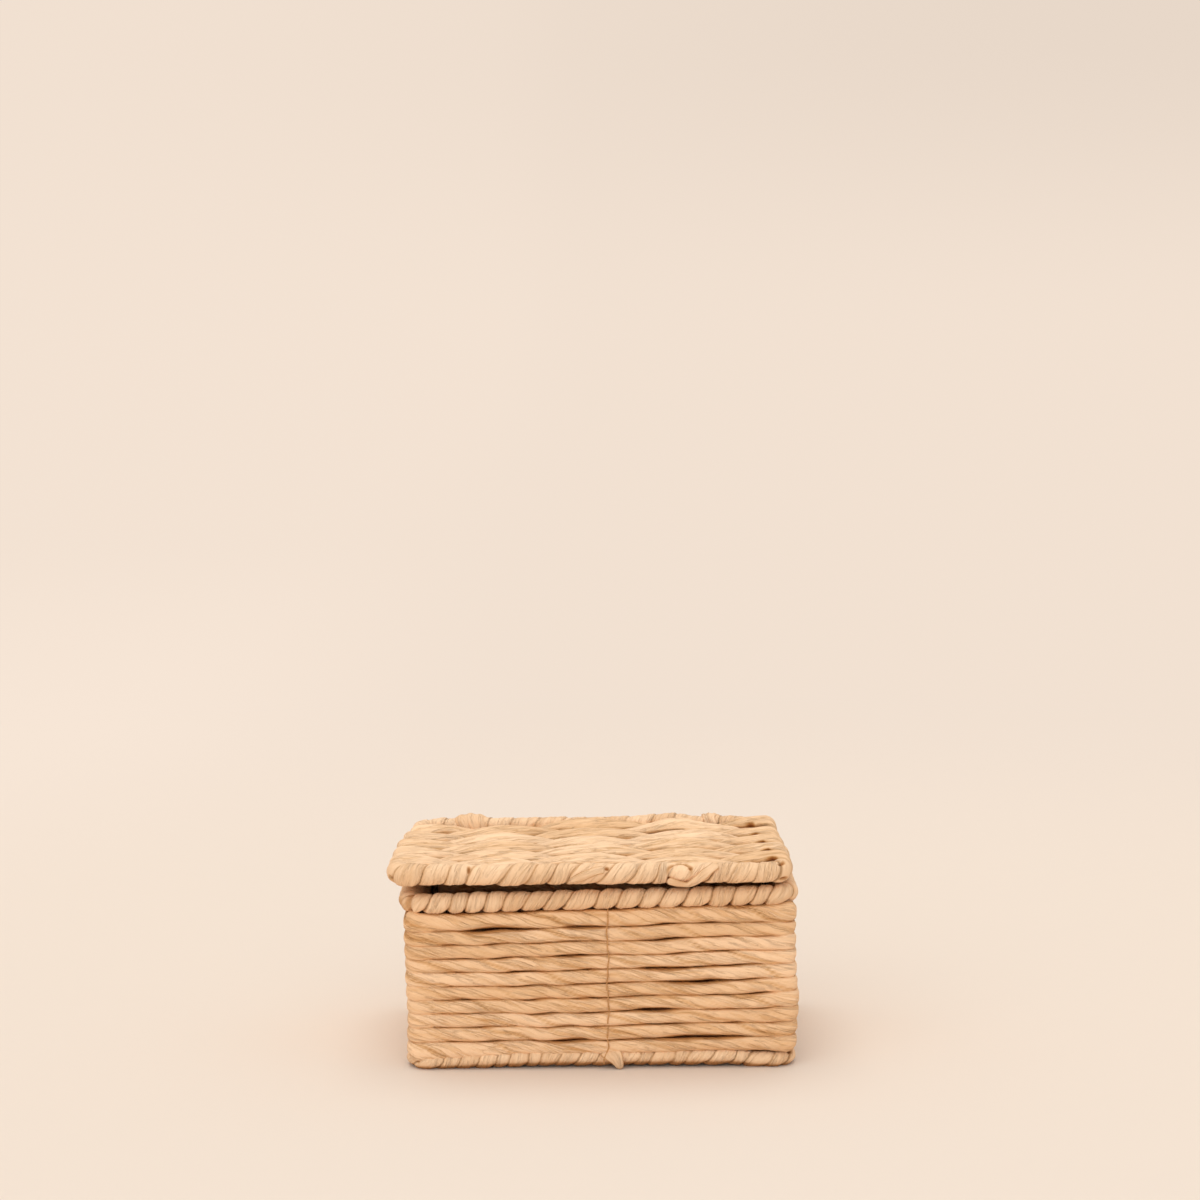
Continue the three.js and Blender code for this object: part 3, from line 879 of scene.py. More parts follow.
def new_material(name, shader_kind):
    """An empty material with one shader, and its tree and shader."""
    material = bpy.data.materials.new(name)
    material.use_nodes = True
    material.node_tree.nodes.clear()
    tree = Tree(material.node_tree)
    out = tree.add("OutputMaterial")
    shader = tree.add(shader_kind)
    tree.join(shader.outputs[0], out.inputs[0])
    return material, tree, shader, out


def new_group(name, inputs, outputs):
    """A node group with named sockets."""
    group = bpy.data.node_groups.new(name, "ShaderNodeTree")
    for label, kind, value in inputs:
        socket = group.interface.new_socket(name=label, in_out="INPUT", socket_type=kind)
        if value is not None:
            socket.default_value = value
    for label, kind in outputs:
        group.interface.new_socket(name=label, in_out="OUTPUT", socket_type=kind)
    return group, group.nodes.new("NodeGroupInput"), group.nodes.new("NodeGroupOutput")


def paper_group():
    """Creases, fibres and tone of crumpled paper, with painted shade in its creases, dashes and grooves, laid
    along a vector in millimetres.
    """
    if "Paper creases" in bpy.data.node_groups:
        return bpy.data.node_groups["Paper creases"]
    group, entry, leave = new_group(
        "Paper creases",
        (
            ("Lay", "NodeSocketVector", None),
            ("Groove", "NodeSocketFloat", 0.0),
            ("Patch", "NodeSocketFloat", 0.5),
            ("Light", "NodeSocketColor", None),
            ("Shade", "NodeSocketColor", None),
            ("Crease", "NodeSocketFloat", 0.36),
            ("Dash", "NodeSocketFloat", 0.1),
        ),
        (("Colour", "NodeSocketColor"), ("Roughness", "NodeSocketFloat"), ("Height", "NodeSocketFloat")),
    )
    tree = Tree(group)
    lay = entry.outputs["Lay"]
    fold = tree.noise(lay, 0.62, 2.0)
    line = tree.spread(tree.from_half(fold), 0.0, 0.085, 1.0, 0.0)
    where = tree.spread(tree.noise(lay, 0.30, 1.0), 0.40, 0.56, 0.0, 1.0)
    crease = tree.math("MULTIPLY", line, where)
    second = tree.spread(tree.from_half(tree.noise(lay, 1.55, 1.0)), 0.0, 0.09, 1.0, 0.0)
    some = tree.spread(tree.noise(lay, 0.75, 0.0), 0.50, 0.62, 0.0, 1.0)
    dash = tree.math("MULTIPLY", second, some)
    fibre = tree.noise(lay, 4.6, 3.0, 0.6)
    # Painted shade: creases, dashes and the Groove mask darken the paper towards the Shade colour, together
    # with the fibres and patches of tone
    total = tree.math("MULTIPLY", dash, entry.outputs["Dash"])
    for value, share in (
        (crease, entry.outputs["Crease"]),
        (entry.outputs["Groove"], 0.50),
        (tree.math("SUBTRACT", fibre, 0.5), 0.15),
        (tree.math("SUBTRACT", entry.outputs["Patch"], 0.5), 0.16),
    ):
        total = tree.math("ADD", total, tree.math("MULTIPLY", value, share))
    total = tree.math("MAXIMUM", total, -0.06)
    # Each channel falls from the Light colour towards the Shade colour as the painted shade grows
    light = tree.add("SeparateColor")
    tree.join(entry.outputs["Light"], light.inputs[0])
    shade = tree.add("SeparateColor")
    tree.join(entry.outputs["Shade"], shade.inputs[0])
    colour = tree.add("CombineColor")
    for channel in range(3):
        ratio = tree.math("DIVIDE", shade.outputs[channel], light.outputs[channel])
        fall = tree.math("POWER", ratio, total)
        tree.join(tree.math("MULTIPLY", light.outputs[channel], fall), colour.inputs[channel])
    tree.join(colour.outputs[0], leave.inputs["Colour"])
    tree.join(tree.spread(fibre, 0.25, 0.75, 0.66, 0.88), leave.inputs["Roughness"])
    height = tree.math("MULTIPLY", fibre, 0.28)
    height = tree.math("ADD", height, tree.math("MULTIPLY", fold, 1.3))
    for value, share in ((crease, 0.75), (second, 0.20), (dash, 0.50)):
        height = tree.math("SUBTRACT", height, tree.math("MULTIPLY", value, share))
    tree.join(height, leave.inputs["Height"])
    return group


def paper_finish(name, light, shade, crease, dash, lay_per_metre, stretch, across, bump):
    """Material of crumpled paper with painted shade in its creases and grooves, its creases wound round a
    rope or, with no twist, along a strip.
    """
    material, tree, shader, _ = new_material(name, "BsdfPrincipled")
    shader.inputs["Specular IOR Level"].default_value = 0.22
    along, around = tree.pair("Lay")
    shade_mask, patch = tree.pair("Tone")
    run = tree.math("MULTIPLY", along, 1000.0 * stretch)
    if lay_per_metre:
        angle = tree.math("MULTIPLY", around, 2.0 * math.pi)
        angle = tree.math("ADD", angle, tree.math("MULTIPLY", along, lay_per_metre))
        x = tree.math("MULTIPLY", tree.math("COSINE", angle), across)
        y = tree.math("MULTIPLY", tree.math("SINE", angle), across)
        vector = tree.vector(x, y, run)
    else:
        vector = tree.vector(run, tree.math("MULTIPLY", around, 1000.0 * across))
    paper = tree.add("Group")
    paper.node_tree = paper_group()
    paper.inputs["Light"].default_value = (*light, 1.0)
    paper.inputs["Shade"].default_value = (*shade, 1.0)
    paper.inputs["Crease"].default_value = crease
    paper.inputs["Dash"].default_value = dash
    tree.join(vector, paper.inputs["Lay"])
    tree.join(shade_mask, paper.inputs["Groove"])
    tree.join(patch, paper.inputs["Patch"])
    tree.join(paper.outputs["Colour"], shader.inputs["Base Color"])
    tree.join(paper.outputs["Roughness"], shader.inputs["Roughness"])
    tree.bump(paper.outputs["Height"], 0.85, bump, shader.inputs["Normal"])
    return material


def wire_finish(name, colours):
    """Material of dull drawn wire with marks along it."""
    material, tree, shader, _ = new_material(name, "BsdfPrincipled")
    shader.inputs["Metallic"].default_value = 0.35
    spot = tree.add("TexCoord").outputs["Object"]
    blotch = tree.noise(spot, 420.0, 4.0, 0.6)
    mix = tree.add("Mix")
    mix.data_type = "RGBA"
    mix.inputs[6].default_value = (*colours.wire, 1.0)
    mix.inputs[7].default_value = (*colours.wire_shade, 1.0)
    tree.join(tree.spread(blotch, 0.38, 0.66, 0.0, 1.0), mix.inputs[0])
    tree.join(mix.outputs[2], shader.inputs["Base Color"])
    tree.join(tree.spread(blotch, 0.2, 0.8, 0.34, 0.62), shader.inputs["Roughness"])
    tree.bump(tree.noise(spot, 2600.0, 2.0), 0.4, 0.00004, shader.inputs["Normal"])
    return material


def material_of(kind):
    """A finish of the box by its name, made once."""
    if kind in bpy.data.materials:
        return bpy.data.materials[kind]
    colours = bpy.context.scene.woven_box_colours
    lay = bpy.context.scene.woven_box_sizes.rope_lay
    # Lit colour, painted shade colour, painted shade of the creases and of the dashes, twist per metre,
    # stretch, size across, bump distance
    papers = {
        "twisted_rope": (colours.rope, colours.rope_shade, 0.14, 0.04, lay, 0.12, 2.6, 0.00042),
        "woven_rope": (colours.weave, colours.rope_shade, 0.06, 0.15, WEAVE_TWIST * lay, 0.12, 4.6, 0.00052),
        "wrapped_strip": (colours.strip, colours.strip_shade, 0.10, 0.04, 0.0, 0.12, 0.95, 0.00036),
        "brown_thread": (colours.thread, colours.thread_shade, 0.4, 0.05, 2600.0, 0.9, 1.2, 0.00012),
    }
    if kind in papers:
        return paper_finish(kind, *papers[kind])
    return wire_finish(kind, colours)


class WOVENBOX_OT_wall_rope(bpy.types.Operator):
    """Wind the twisted rope of the wall."""

    bl_idname = "wovenbox.wall_rope"
    bl_label = "Wall Rope"

    def execute(self, context):
        sizes = context.scene.woven_box_sizes
        middle, half = centre_of("wall_rope")
        shape, length = wall_rope_shape(sizes, middle, half)
        piece = wound("wall_rope_twist", length, 30, shape)
        place(piece, "box", material_of("twisted_rope"), ["wall_rope"])
        return {"FINISHED"}


class WOVENBOX_OT_rim_wrap(bpy.types.Operator):
    """Wrap the rim with paper strip."""

    bl_idname = "wovenbox.rim_wrap"
    bl_label = "Rim Wrap"

    def execute(self, context):
        sizes = context.scene.woven_box_sizes
        middle, half = centre_of("rim_frame_wire")
        shift = np.array([middle[0] - RIM_LEFT / 2.0, middle[1], 0.0])
        half_x = half[0] - FRAME_WIRE + RIM_LEFT / 2.0
        half_y = half[1] - FRAME_WIRE
        route = ring_route(half_x, half_y, sizes.rail_corner, lambda x: rim_level(sizes, x) - RIM_SAG)
        marks = [0.5 * route.total + x + RIM_LEFT / 2.0 for x in RIM_MARKS]
        corner = (route.lengths[CORNER_POINTS + 1] + route.lengths[2 * CORNER_POINTS]) / 2.0
        pads = [(corner + pad[0], *pad[1:]) for pad in RIM_PADS]

        def open_below(s, turn):
            """Grooves that open a little underneath."""
            return 0.92 + 1.1 * np.clip(-np.sin(turn) - 0.30, 0.0, 1.0)

        shape = wrap_shape(
            route, sizes.rim_radius, sizes.rim_pitch, 40, 0.00088, 4.4, shift, marks,
            ring=True, pads=pads, soft=open_below, broad=1.12,
        )
        piece = wound("rim_strip", route.total, 40, shape, ring=True)
        nodes = ["rim_wrap_" + side for side in SIDES]
        place(piece, "box", material_of("wrapped_strip"), nodes)
        return {"FINISHED"}


class WOVENBOX_OT_base_wrap(bpy.types.Operator):
    """Wrap the base with paper strip, pressed flat underneath."""

    bl_idname = "wovenbox.base_wrap"
    bl_label = "Base Wrap"

    def execute(self, context):
        sizes = context.scene.woven_box_sizes
        middle, half = centre_of("base_frame_wire")
        shift = np.array([middle[0], middle[1], 0.0])
        half_x = half[0] - FRAME_WIRE
        half_y = half[1] - FRAME_WIRE
        route = ring_route(half_x, half_y, sizes.rail_corner, lambda x: middle[2])
        pads = [(0.5 * route.total + pad[0], *pad[1:]) for pad in BASE_PADS]

        def scallop(s, turn):
            """Shallow grooves on the outside that deepen underneath."""
            return 0.70 + 0.85 * np.clip(-np.sin(turn), 0.0, 1.0) ** 2

        shape = wrap_shape(
            route, sizes.base_radius, sizes.base_pitch, 60, 0.00050, 3.6, shift,
            ring=True, floor=0.0, pads=pads, spread=0.34, soft=scallop,
            raised=lambda s: base_rise(s - 0.5 * route.total),
        )
        piece = wound("base_strip", route.total, 32, shape, ring=True)
        nodes = ["base_wrap_" + side for side in SIDES]
        place(piece, "box", material_of("wrapped_strip"), nodes)
        return {"FINISHED"}


def lid_rail_route(half_x, half_y, bend, front, first_tail, last_tail):
    """A lid rail with a short way round both corners, the front from its left and the rear from its right."""
    points = []
    outs = []
    way = -1.0 if front else 1.0
    angle = 180.0 if front else 0.0
    x = way * (half_x - bend)
    y = half_y - bend
    points.append((way * half_x, way * (y - first_tail), 0.0))
    outs.append((way, 0.0, 0.0))
    add_corner(x, way * y, bend, angle, level_rail, points, outs)
    add_corner(-x, way * y, bend, angle + 90.0, level_rail, points, outs)
    points.append((-way * half_x, way * (y - last_tail), 0.0))
    outs.append((-way, 0.0, 0.0))
    return Route(points, outs)


def lid_front_wrap(sizes, middle, half_x, half_y):
    """Strip on the lid's front rail, with its wide, swollen and dented turns."""
    route = lid_rail_route(half_x, half_y, sizes.rail_corner, True, 0.0052, 0.0006)
    corner_end = route.lengths[CORNER_POINTS]
    marks = [corner_end + x + half_x - sizes.rail_corner for x in LID_MARKS]
    wall = centre_of("wall_rope")[0]
    along = corner_end + half_x - sizes.rail_corner + wall[0] - middle[0]
    pads = [(along + pad[0], *pad[1:]) for pad in LID_PADS]

    def calm(s, turn):
        """Shallow grooves in the wide turns near the right end."""
        past = s - along
        return 1.0 - 0.55 * ease((past - 0.0345) / 0.004) * (1.0 - ease((past - 0.0510) / 0.003))

    shape = wrap_shape(
        route, sizes.lid_radius, sizes.lid_pitch, 80, 0.00060, 5.0, middle, marks, LID_BULGES,
        pads=pads, soft=calm,
    )
    piece = wound("lid_front_strip", route.total, 52, shape)
    place(piece, "lid", material_of("wrapped_strip"), ["lid_wrap_front"])


def lid_rear_wrap(sizes, middle, half_x, half_y):
    """Strip on the lid's rear rail, which is drawn in at its corners."""
    straight = lid_rail_route(half_x, half_y, sizes.rail_corner, False, 0.0006, 0.0016)
    points, outs = straight.read(np.linspace(0.0, straight.total, 300))
    route = Route(points + lid_shift(points[:, 0], points[:, 1], half_x), outs)

    def under_row(s, turn):
        """Shallow grooves on the side that the last woven row leans on."""
        return 1.0 - 0.75 * ease((np.sin(turn) - 0.1) / 0.5) * ease((0.6 - np.cos(turn)) / 0.6)

    radius = sizes.lid_radius - 0.0003
    shape = wrap_shape(route, radius, sizes.lid_pitch, 90, 0.00034, 5.0, middle, soft=under_row)
    piece = wound("lid_rear_strip", route.total, 36, shape)
    place(piece, "lid", material_of("wrapped_strip"), ["lid_wrap_rear"])


class WOVENBOX_OT_lid_wraps(bpy.types.Operator):
    """Wrap the lid's front and rear rails with paper strip."""

    bl_idname = "wovenbox.lid_wraps"
    bl_label = "Lid Wraps"

    def execute(self, context):
        sizes = context.scene.woven_box_sizes
        middle, half = centre_of("lid_frame_wire")
        half_x = half[0] - FRAME_WIRE
        half_y = half[1] - FRAME_WIRE
        lid_front_wrap(sizes, middle, half_x, half_y)
        lid_rear_wrap(sizes, middle, half_x, half_y)
        return {"FINISHED"}


class WOVENBOX_OT_weaves(bpy.types.Operator):
    """Weave the lid and the floor."""

    bl_idname = "wovenbox.weaves"
    bl_label = "Lid and Floor Weave"

    def execute(self, context):
        sizes = context.scene.woven_box_sizes
        middle, half = centre_of("lid_frame_wire")
        rail = half[0] - FRAME_WIRE
        wires = [-rail]
        wires += [centre_of("lid_cross_wire_%d" % i)[0][0] - middle[0] for i in (1, 2, 3)]
        wires.append(rail)
        shape, length = weave_shape(
            sizes, wires, LID_LIFTS,
            first=-0.0354, pitch=0.0069, rows=10, shift=middle, seed=100, fuller=1.0,
        )
        piece = wound("lid_weave", length, 44, shape)
        place(piece, "lid", material_of("woven_rope"), ["lid_rope"])
        middle = centre_of("floor_rope")[0]
        wires = [centre_of("floor_cross_wire_%d" % i)[0][0] - middle[0] for i in (1, 2, 3, 4, 5)]
        shape, length = weave_shape(
            sizes, wires, FLOOR_LIFTS,
            first=-0.03335, pitch=0.00667, rows=10, shift=middle, seed=120, fuller=0.6,
        )
        piece = wound("floor_weave", length, 36, shape)
        place(piece, "box", material_of("woven_rope"), ["floor_rope"])
        return {"FINISHED"}


def loop_route(name, inset):
    """Line of a hinge loop: two half rounds joined by straight sides, a little slanted."""
    middle, half = centre_of(name)
    radius = half[1] - inset
    tall = half[2] - half[1]
    points = []
    outs = []
    for angle in np.radians(np.linspace(0.0, 360.0, 49)):
        out = np.array([0.0, math.cos(angle), math.sin(angle)])
        level = tall if math.sin(angle) > -1e-6 else -tall
        slant = 0.0006 * math.sin(2.0 * angle + 0.6)
        points.append(middle + radius * out + np.array([slant, 0.0, level]))
        outs.append(out)
    points.append(points[0])
    outs.append(outs[0])
    return Route(points, outs)


class WOVENBOX_OT_hinge_loops(bpy.types.Operator):
    """Loop strip round the lid's rear rail and the rear rim."""

    bl_idname = "wovenbox.hinge_loops"
    bl_label = "Hinge Loops"

    def execute(self, context):
        sizes = context.scene.woven_box_sizes
        for side, (inset, wide, thick, droop, seed) in HINGE_LOOPS.items():
            name = "hinge_loop_" + side
            half_wide = sizes.loop_half_width * wide
            half_thick = sizes.loop_half_thick * thick
            shape = sweep_shape(
                loop_route(name, inset), fixed_side(X_AXIS), half_wide, half_thick, seed, 0.20,
                ring=True, power=2.3, ribs=0.42, droop=droop,
            )
            piece = skin(name + "_strip", 120, 56, shape, ring=True)
            place(piece, "box", material_of("wrapped_strip"), [name])
        return {"FINISHED"}


def thread_rows(sizes, side, x):
    """Height and relative size of the rows behind a thread. At the rear the rope is halfway up its climb."""
    if side == "front":
        steps = [(row, 1.0) for row in range(sizes.row_count)]
    else:
        steps = [(row + 0.5, 1.0) for row in range(sizes.row_count - 1)]
        steps = [(-0.25, 0.5)] + steps + [(sizes.row_count - 0.75, 0.5)]
    return [(float(row_level(sizes, row, x)), size) for row, size in steps]


def rows_reach(sizes, rows, z):
    """How far out the rows stand at a height."""
    reach = 0.0011
    for level, size in rows:
        share = abs(z - level) / (size * sizes.rope_half_height)
        if share < 1.0:
            bulge = (1.0 - share**ROPE_SQUARE) ** (1.0 / ROPE_SQUARE)
            reach = max(reach, sizes.rope_half_depth * bulge)
    return reach


def base_reach(sizes, share):
    """How far out the wrapped base stands at a height, given as a share of its radius from its middle."""
    reach = sizes.base_radius * math.sqrt(1.0 - share**2)
    return reach * (1.0 - 0.6 * max(-share, 0.0) ** 2)


def thread_route(sizes, side, away, at):
    """Line of a thread: up the outside of the wall, over the top row and down the inside."""
    wall, wall_half = centre_of("wall_rope")
    x = at - wall[0]
    rope_y = away * (wall_half[1] - ROPE_IN)
    rows = thread_rows(sizes, side, x)
    top, top_size = rows[-1]
    points = []
    outs = []

    def add(y, z, out_y, out_z):
        """A point of the thread, a little unsteady along the wall."""
        sway = 0.00022 * math.sin(z * 410.0) + 0.00012 * math.sin(z * 1130.0)
        sway -= 0.0016 * ease((0.0075 - z) / 0.005)
        points.append((at + sway, wall[1] + y, z))
        outs.append((0.0, out_y, out_z))

    if side == "front":
        base, base_half = centre_of("base_frame_wire")
        rail = base[1] - base_half[1] + FRAME_WIRE - wall[1]
        for z in np.arange(0.0012, 0.0050, THREAD_STEP):
            share = (z - base[2] - base_rise(x)) / sizes.base_radius
            add(rail - base_reach(sizes, share) - 0.0007, z, -1.0, 0.0)
    for z in np.arange(0.0054, top, THREAD_STEP):
        add(rope_y + away * (rows_reach(sizes, rows, z) + THREAD_GAP), z, away, 0.0)
    over = sizes.rope_half_depth + THREAD_GAP
    for angle in np.radians(np.linspace(0.0, 180.0, 13)):
        outward = away * math.cos(angle)
        upward = math.sin(angle)
        add(rope_y + over * outward, top + 1.45 * over * top_size * upward, outward, upward)
    for z in np.arange(top, 0.0088, -THREAD_STEP):
        add(rope_y - away * (rows_reach(sizes, rows, z) + THREAD_GAP), z, -away, 0.0)
    return Route(points, outs)


class WOVENBOX_OT_binding_threads(bpy.types.Operator):
    """Bind the rows with a brown thread at the front and the rear."""

    bl_idname = "wovenbox.binding_threads"
    bl_label = "Binding Threads"

    def execute(self, context):
        sizes = context.scene.woven_box_sizes
        radius = sizes.thread_radius
        for side, away in (("front", -1.0), ("rear", 1.0)):
            name = side + "_binding_thread"
            route = thread_route(sizes, side, away, centre_of(name)[0][0])
            shape = sweep_shape(route, fixed_side(X_AXIS), radius, radius, 151, 0.08)
            piece = skin(side + "_thread", 260, 10, shape)
            place(piece, "box", material_of("brown_thread"), [name])
        return {"FINISHED"}


def strip_end(name, marks, axis, radius, half_wide, seed, body, taper=0.0):
    """A loose end of strip lying on the front of a wrapped rail."""
    points = []
    outs = []
    wall = centre_of("wall_rope")[0]
    fine = np.linspace(0.0, len(marks) - 1.0, 8 * len(marks))
    lines = [np.interp(fine, range(len(marks)), [mark[i] for mark in marks]) for i in range(3)]
    for line in lines:
        for _ in range(6):
            line[1:-1] = (line[:-2] + 2.0 * line[1:-1] + line[2:]) / 4.0
    for x, up, off in zip(*lines):
        angle = math.asin(min(max(up / (radius + 0.0003), -0.96), 0.96)) + 0.2
        out = np.array([0.0, -math.cos(angle), math.sin(angle)])
        points.append(np.array([x + wall[0], axis[0], axis[1]]) + (radius + off) * out)
        outs.append(out)
    route = Route(points, outs)
    shape = sweep_shape(route, across_route(route), half_wide, 0.00042, seed, 0.12, power=2.1, taper=taper)
    piece = skin(name, max(int(route.total / 0.0003), 16), 20, shape)
    place(piece, body, material_of("wrapped_strip"), [])


class WOVENBOX_OT_strip_ends(bpy.types.Operator):
    """Lay the loose ends of strip on the lid's front rail and on the base."""

    bl_idname = "wovenbox.strip_ends"
    bl_label = "Strip Ends"

    def execute(self, context):
        sizes = context.scene.woven_box_sizes
        lid, lid_half = centre_of("lid_frame_wire")
        rail = (lid[1] - lid_half[1] + FRAME_WIRE, lid[2])
        strip_end("lid_strip_curl", LID_CURL, rail, sizes.lid_radius + 0.00045, 0.00145, 161, "lid")
        strip_end("lid_strip_tuck", LID_TUCK, rail, sizes.lid_radius + 0.0002, 0.0013, 171, "lid")
        base, base_half = centre_of("base_frame_wire")
        rail = (base[1] - base_half[1] + FRAME_WIRE, base[2] + base_rise(0.004))
        strip_end("base_strip_tab", BASE_TAB, rail, sizes.base_radius + 0.0002, 0.0035, 181, "box", 0.72)
        return {"FINISHED"}


def frame_route(sizes, name):
    """Line of a bent frame wire, sloped, drawn in or raised as the piece round it is."""
    middle, half = centre_of(name)
    half_x = half[0] - FRAME_WIRE
    half_y = half[1] - FRAME_WIRE
    level = (lambda x: rim_level(sizes, x)) if name.startswith("rim") else (lambda x: middle[2])
    ring = ring_route(half_x, half_y, sizes.rail_corner, level)
    points, outs = ring.read(np.linspace(0.0, ring.total, 400))
    if name.startswith("lid"):
        points += lid_shift(points[:, 0], points[:, 1], half_x)
    if name.startswith("base"):
        points[:, 2] += base_rise(points[:, 0]) * (points[:, 1] < 0.0)
    return Route(points + np.array([middle[0], middle[1], 0.0]), outs)


def straight_route(name):
    """Line of a post or a cross wire from end to end, and its radius."""
    middle, half = centre_of(name)
    run = np.where(half == half.max(), half, 0.0)
    out = (0.0, 1.0, 0.0) if "post" in name else Z_AXIS
    return Route([middle - run, middle + run], [out, out]), half.min()


class WOVENBOX_OT_frame_wires(bpy.types.Operator):
    """Finish the frame, the posts and the cross wires as drawn wire."""

    bl_idname = "wovenbox.frame_wires"
    bl_label = "Frame Wires"

    def execute(self, context):
        sizes = context.scene.woven_box_sizes
        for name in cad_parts:
            if "wire" not in name and "post" not in name:
                continue
            closed = "frame" in name
            if closed:
                route = frame_route(sizes, name)
                radius = FRAME_WIRE
                side = fixed_side(Z_AXIS)
            else:
                route, radius = straight_route(name)
                side = fixed_side(X_AXIS)
            shape = sweep_shape(route, side, radius, radius, 191, 0.0, ring=closed, power=2.0)
            piece = skin(name + "_drawn", 420 if closed else 60, 14, shape, ring=closed)
            body = "lid" if name.startswith("lid") else "box"
            place(piece, body, material_of("drawn_wire"), [name])
        return {"FINISHED"}


def ground_finish(colours):
    """Material of the pale ground: lit near the box, and further away as bright as it is written, with
    painted light and shade on that glow.
    """
    material, tree, shader, out = new_material("pale_ground", "BsdfDiffuse")
    shader.inputs["Color"].default_value = (*colours.floor, 1.0)
    glow = tree.add("Emission")
    glow.inputs["Color"].default_value = (*colours.ground, 1.0)
    spot = tree.add("TexCoord").outputs["Object"]
    far = tree.add("VectorMath")
    far.operation = "LENGTH"
    tree.join(spot, far.inputs[0])
    away = tree.spread(far.outputs["Value"], 0.22, 0.75, 0.0, 1.0)
    parts = tree.add("SeparateXYZ")
    tree.join(spot, parts.inputs[0])
    near = tree.spread(parts.outputs["Y"], 0.3, 2.0, 1.0, 0.25)
    # Painted light and shade on the glow: brighter to the left, more so towards the front, and darker higher
    # up, most on the right
    left = tree.spread(parts.outputs["X"], -0.30, -0.02, 0.055, 0.0)
    high = tree.spread(parts.outputs["Z"], 0.15, 0.95, 0.0, 0.09)
    right = tree.spread(parts.outputs["X"], -1.6, 1.6, 0.2, 1.0)
    bright = tree.math("ADD", tree.math("MULTIPLY", left, near), 1.0)
    strength = tree.math("SUBTRACT", bright, tree.math("MULTIPLY", high, right))
    tree.join(strength, glow.inputs["Strength"])
    seen = tree.add("LightPath")
    plain = tree.math("ADD", seen.outputs["Is Camera Ray"], seen.outputs["Is Glossy Ray"])
    plain = tree.math("ADD", plain, seen.outputs["Is Transmission Ray"], clamp=True)
    mix = tree.add("MixShader")
    tree.join(tree.math("MULTIPLY", away, plain), mix.inputs[0])
    tree.join(shader.outputs[0], mix.inputs[1])
    tree.join(glow.outputs[0], mix.inputs[2])
    tree.join(mix.outputs[0], out.inputs[0])
    return material


def ground_sweep(material):
    """A floor that bends up into a wall behind the box."""
    bm = bmesh.new()
    bmesh.ops.create_grid(bm, x_segments=2, y_segments=40, size=0.5)
    for vert in bm.verts:
        t = vert.co.y + 0.5
        bend = min(max((t - 0.45) / 0.3, 0.0), 1.0) * math.pi / 2.0
        y = SWEEP_FRONT + min(t, 0.45) / 0.45 * SWEEP_DEPTH + SWEEP_BEND * math.sin(bend)
        z = SWEEP_BEND * (1.0 - math.cos(bend)) + max(t - 0.75, 0.0) / 0.25 * SWEEP_WALL
        vert.co = (vert.co.x * SWEEP_WIDTH, y, z)
    for face in bm.faces:
        face.smooth = True
    mesh = bpy.data.meshes.new("ground_sweep")
    bm.to_mesh(mesh)
    bm.free()
    mesh.materials.append(material)
    return bpy.data.objects.new("ground_sweep", mesh)


def lamp(name, spot, power, size):
    """A sun that shines from a side towards the box."""
    data = bpy.data.lights.new(name, "SUN")
    data.energy = power
    data.color = LAMP_COLOUR
    data.angle = math.radians(size)
    piece = bpy.data.objects.new(name, data)
    piece.location = spot
    x, y, z = spot
    heading = math.atan2(-y, -x) - math.pi / 2.0
    piece.rotation_euler = (math.atan2(math.hypot(x, y), z), 0.0, heading)
    bpy.context.scene.collection.objects.link(piece)


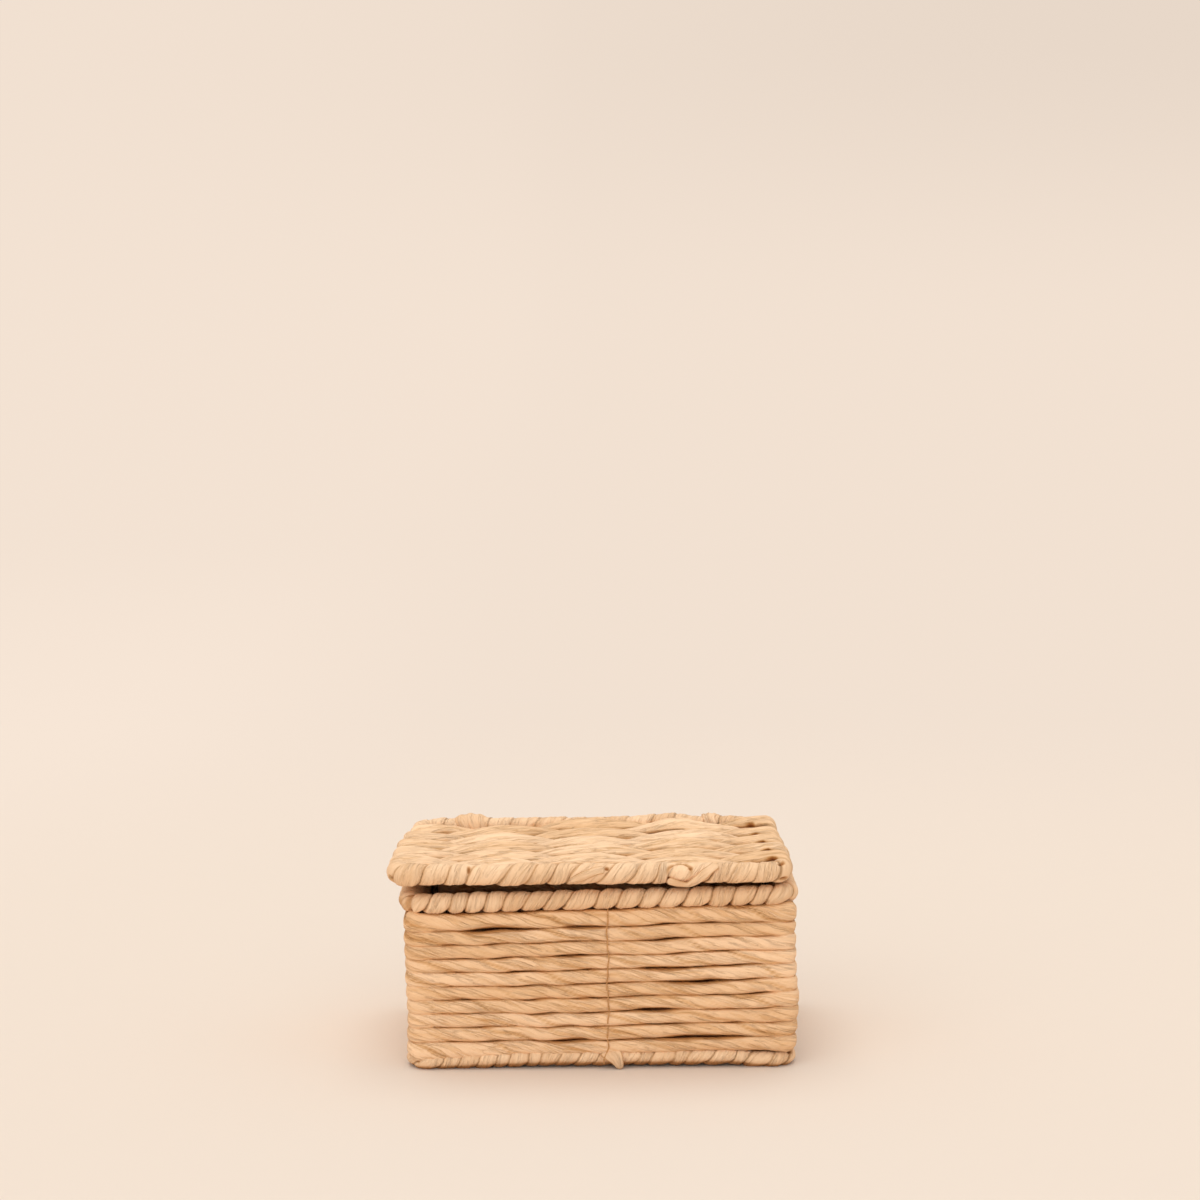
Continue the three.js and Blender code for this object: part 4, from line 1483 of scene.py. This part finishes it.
class WOVENBOX_OT_stage(bpy.types.Operator):
    """Set the floor, the light and the camera."""

    bl_idname = "wovenbox.stage"
    bl_label = "Stage"

    def execute(self, context):
        scene = context.scene
        ground = ground_sweep(ground_finish(scene.woven_box_colours))
        scene.collection.objects.link(ground)

        world = bpy.data.worlds.new("soft_room")
        world.use_nodes = True
        back = world.node_tree.nodes["Background"]
        back.inputs[0].default_value = ROOM_COLOUR
        back.inputs[1].default_value = ROOM_LIGHT
        scene.world = world
        for values in LAMPS:
            lamp(*values)
        scene.view_settings.view_transform = "Standard"

        data = bpy.data.cameras.new("photo_camera")
        data.sensor_width = 36.0
        data.lens = LENS
        data.clip_start = 0.01
        camera = bpy.data.objects.new("photo_camera", data)
        middle = centre_of("wall_rope")[0]
        camera.location = (middle[0] + CAMERA_RIGHT, middle[1] - CAMERA_BACK, CAMERA_UP)
        camera.rotation_euler = (math.radians(90.0 - CAMERA_TILT), math.radians(CAMERA_ROLL), 0.0)
        scene.collection.objects.link(camera)
        scene.camera = camera
        return {"FINISHED"}


PIECES = (
    WOVENBOX_OT_wall_rope,
    WOVENBOX_OT_rim_wrap,
    WOVENBOX_OT_base_wrap,
    WOVENBOX_OT_lid_wraps,
    WOVENBOX_OT_weaves,
    WOVENBOX_OT_hinge_loops,
    WOVENBOX_OT_binding_threads,
    WOVENBOX_OT_strip_ends,
    WOVENBOX_OT_frame_wires,
    WOVENBOX_OT_stage,
)


class WOVENBOX_PT_panel(bpy.types.Panel):
    """Sidebar list of the box's pieces."""

    bl_idname = "WOVENBOX_PT_panel"
    bl_label = "Woven Box"
    bl_space_type = "VIEW_3D"
    bl_region_type = "UI"
    bl_category = "Woven Box"

    def draw(self, context):
        for piece in PIECES:
            self.layout.operator(piece.bl_idname)
        for group in (context.scene.woven_box_sizes, context.scene.woven_box_colours):
            for name in group.bl_rna.properties.keys():
                if name not in {"rna_type", "name"}:
                    self.layout.prop(group, name)


CLASSES = (WovenBoxSizes, WovenBoxColours, *PIECES, WOVENBOX_PT_panel)


def register():
    """Adds the box's classes and settings."""
    for cls in CLASSES:
        bpy.utils.register_class(cls)
    bpy.types.Scene.woven_box_sizes = PointerProperty(type=WovenBoxSizes)
    bpy.types.Scene.woven_box_colours = PointerProperty(type=WovenBoxColours)


def unregister():
    """Takes the box's classes and settings away."""
    del bpy.types.Scene.woven_box_colours
    del bpy.types.Scene.woven_box_sizes
    for cls in reversed(CLASSES):
        bpy.utils.unregister_class(cls)


def main():
    """Builds the box on its stage."""
    register()
    bpy.ops.wovenbox.wall_rope()
    bpy.ops.wovenbox.rim_wrap()
    bpy.ops.wovenbox.base_wrap()
    bpy.ops.wovenbox.lid_wraps()
    bpy.ops.wovenbox.weaves()
    bpy.ops.wovenbox.hinge_loops()
    bpy.ops.wovenbox.binding_threads()
    bpy.ops.wovenbox.strip_ends()
    bpy.ops.wovenbox.frame_wires()
    bpy.ops.wovenbox.stage()


if __name__ == "__main__":
    main()
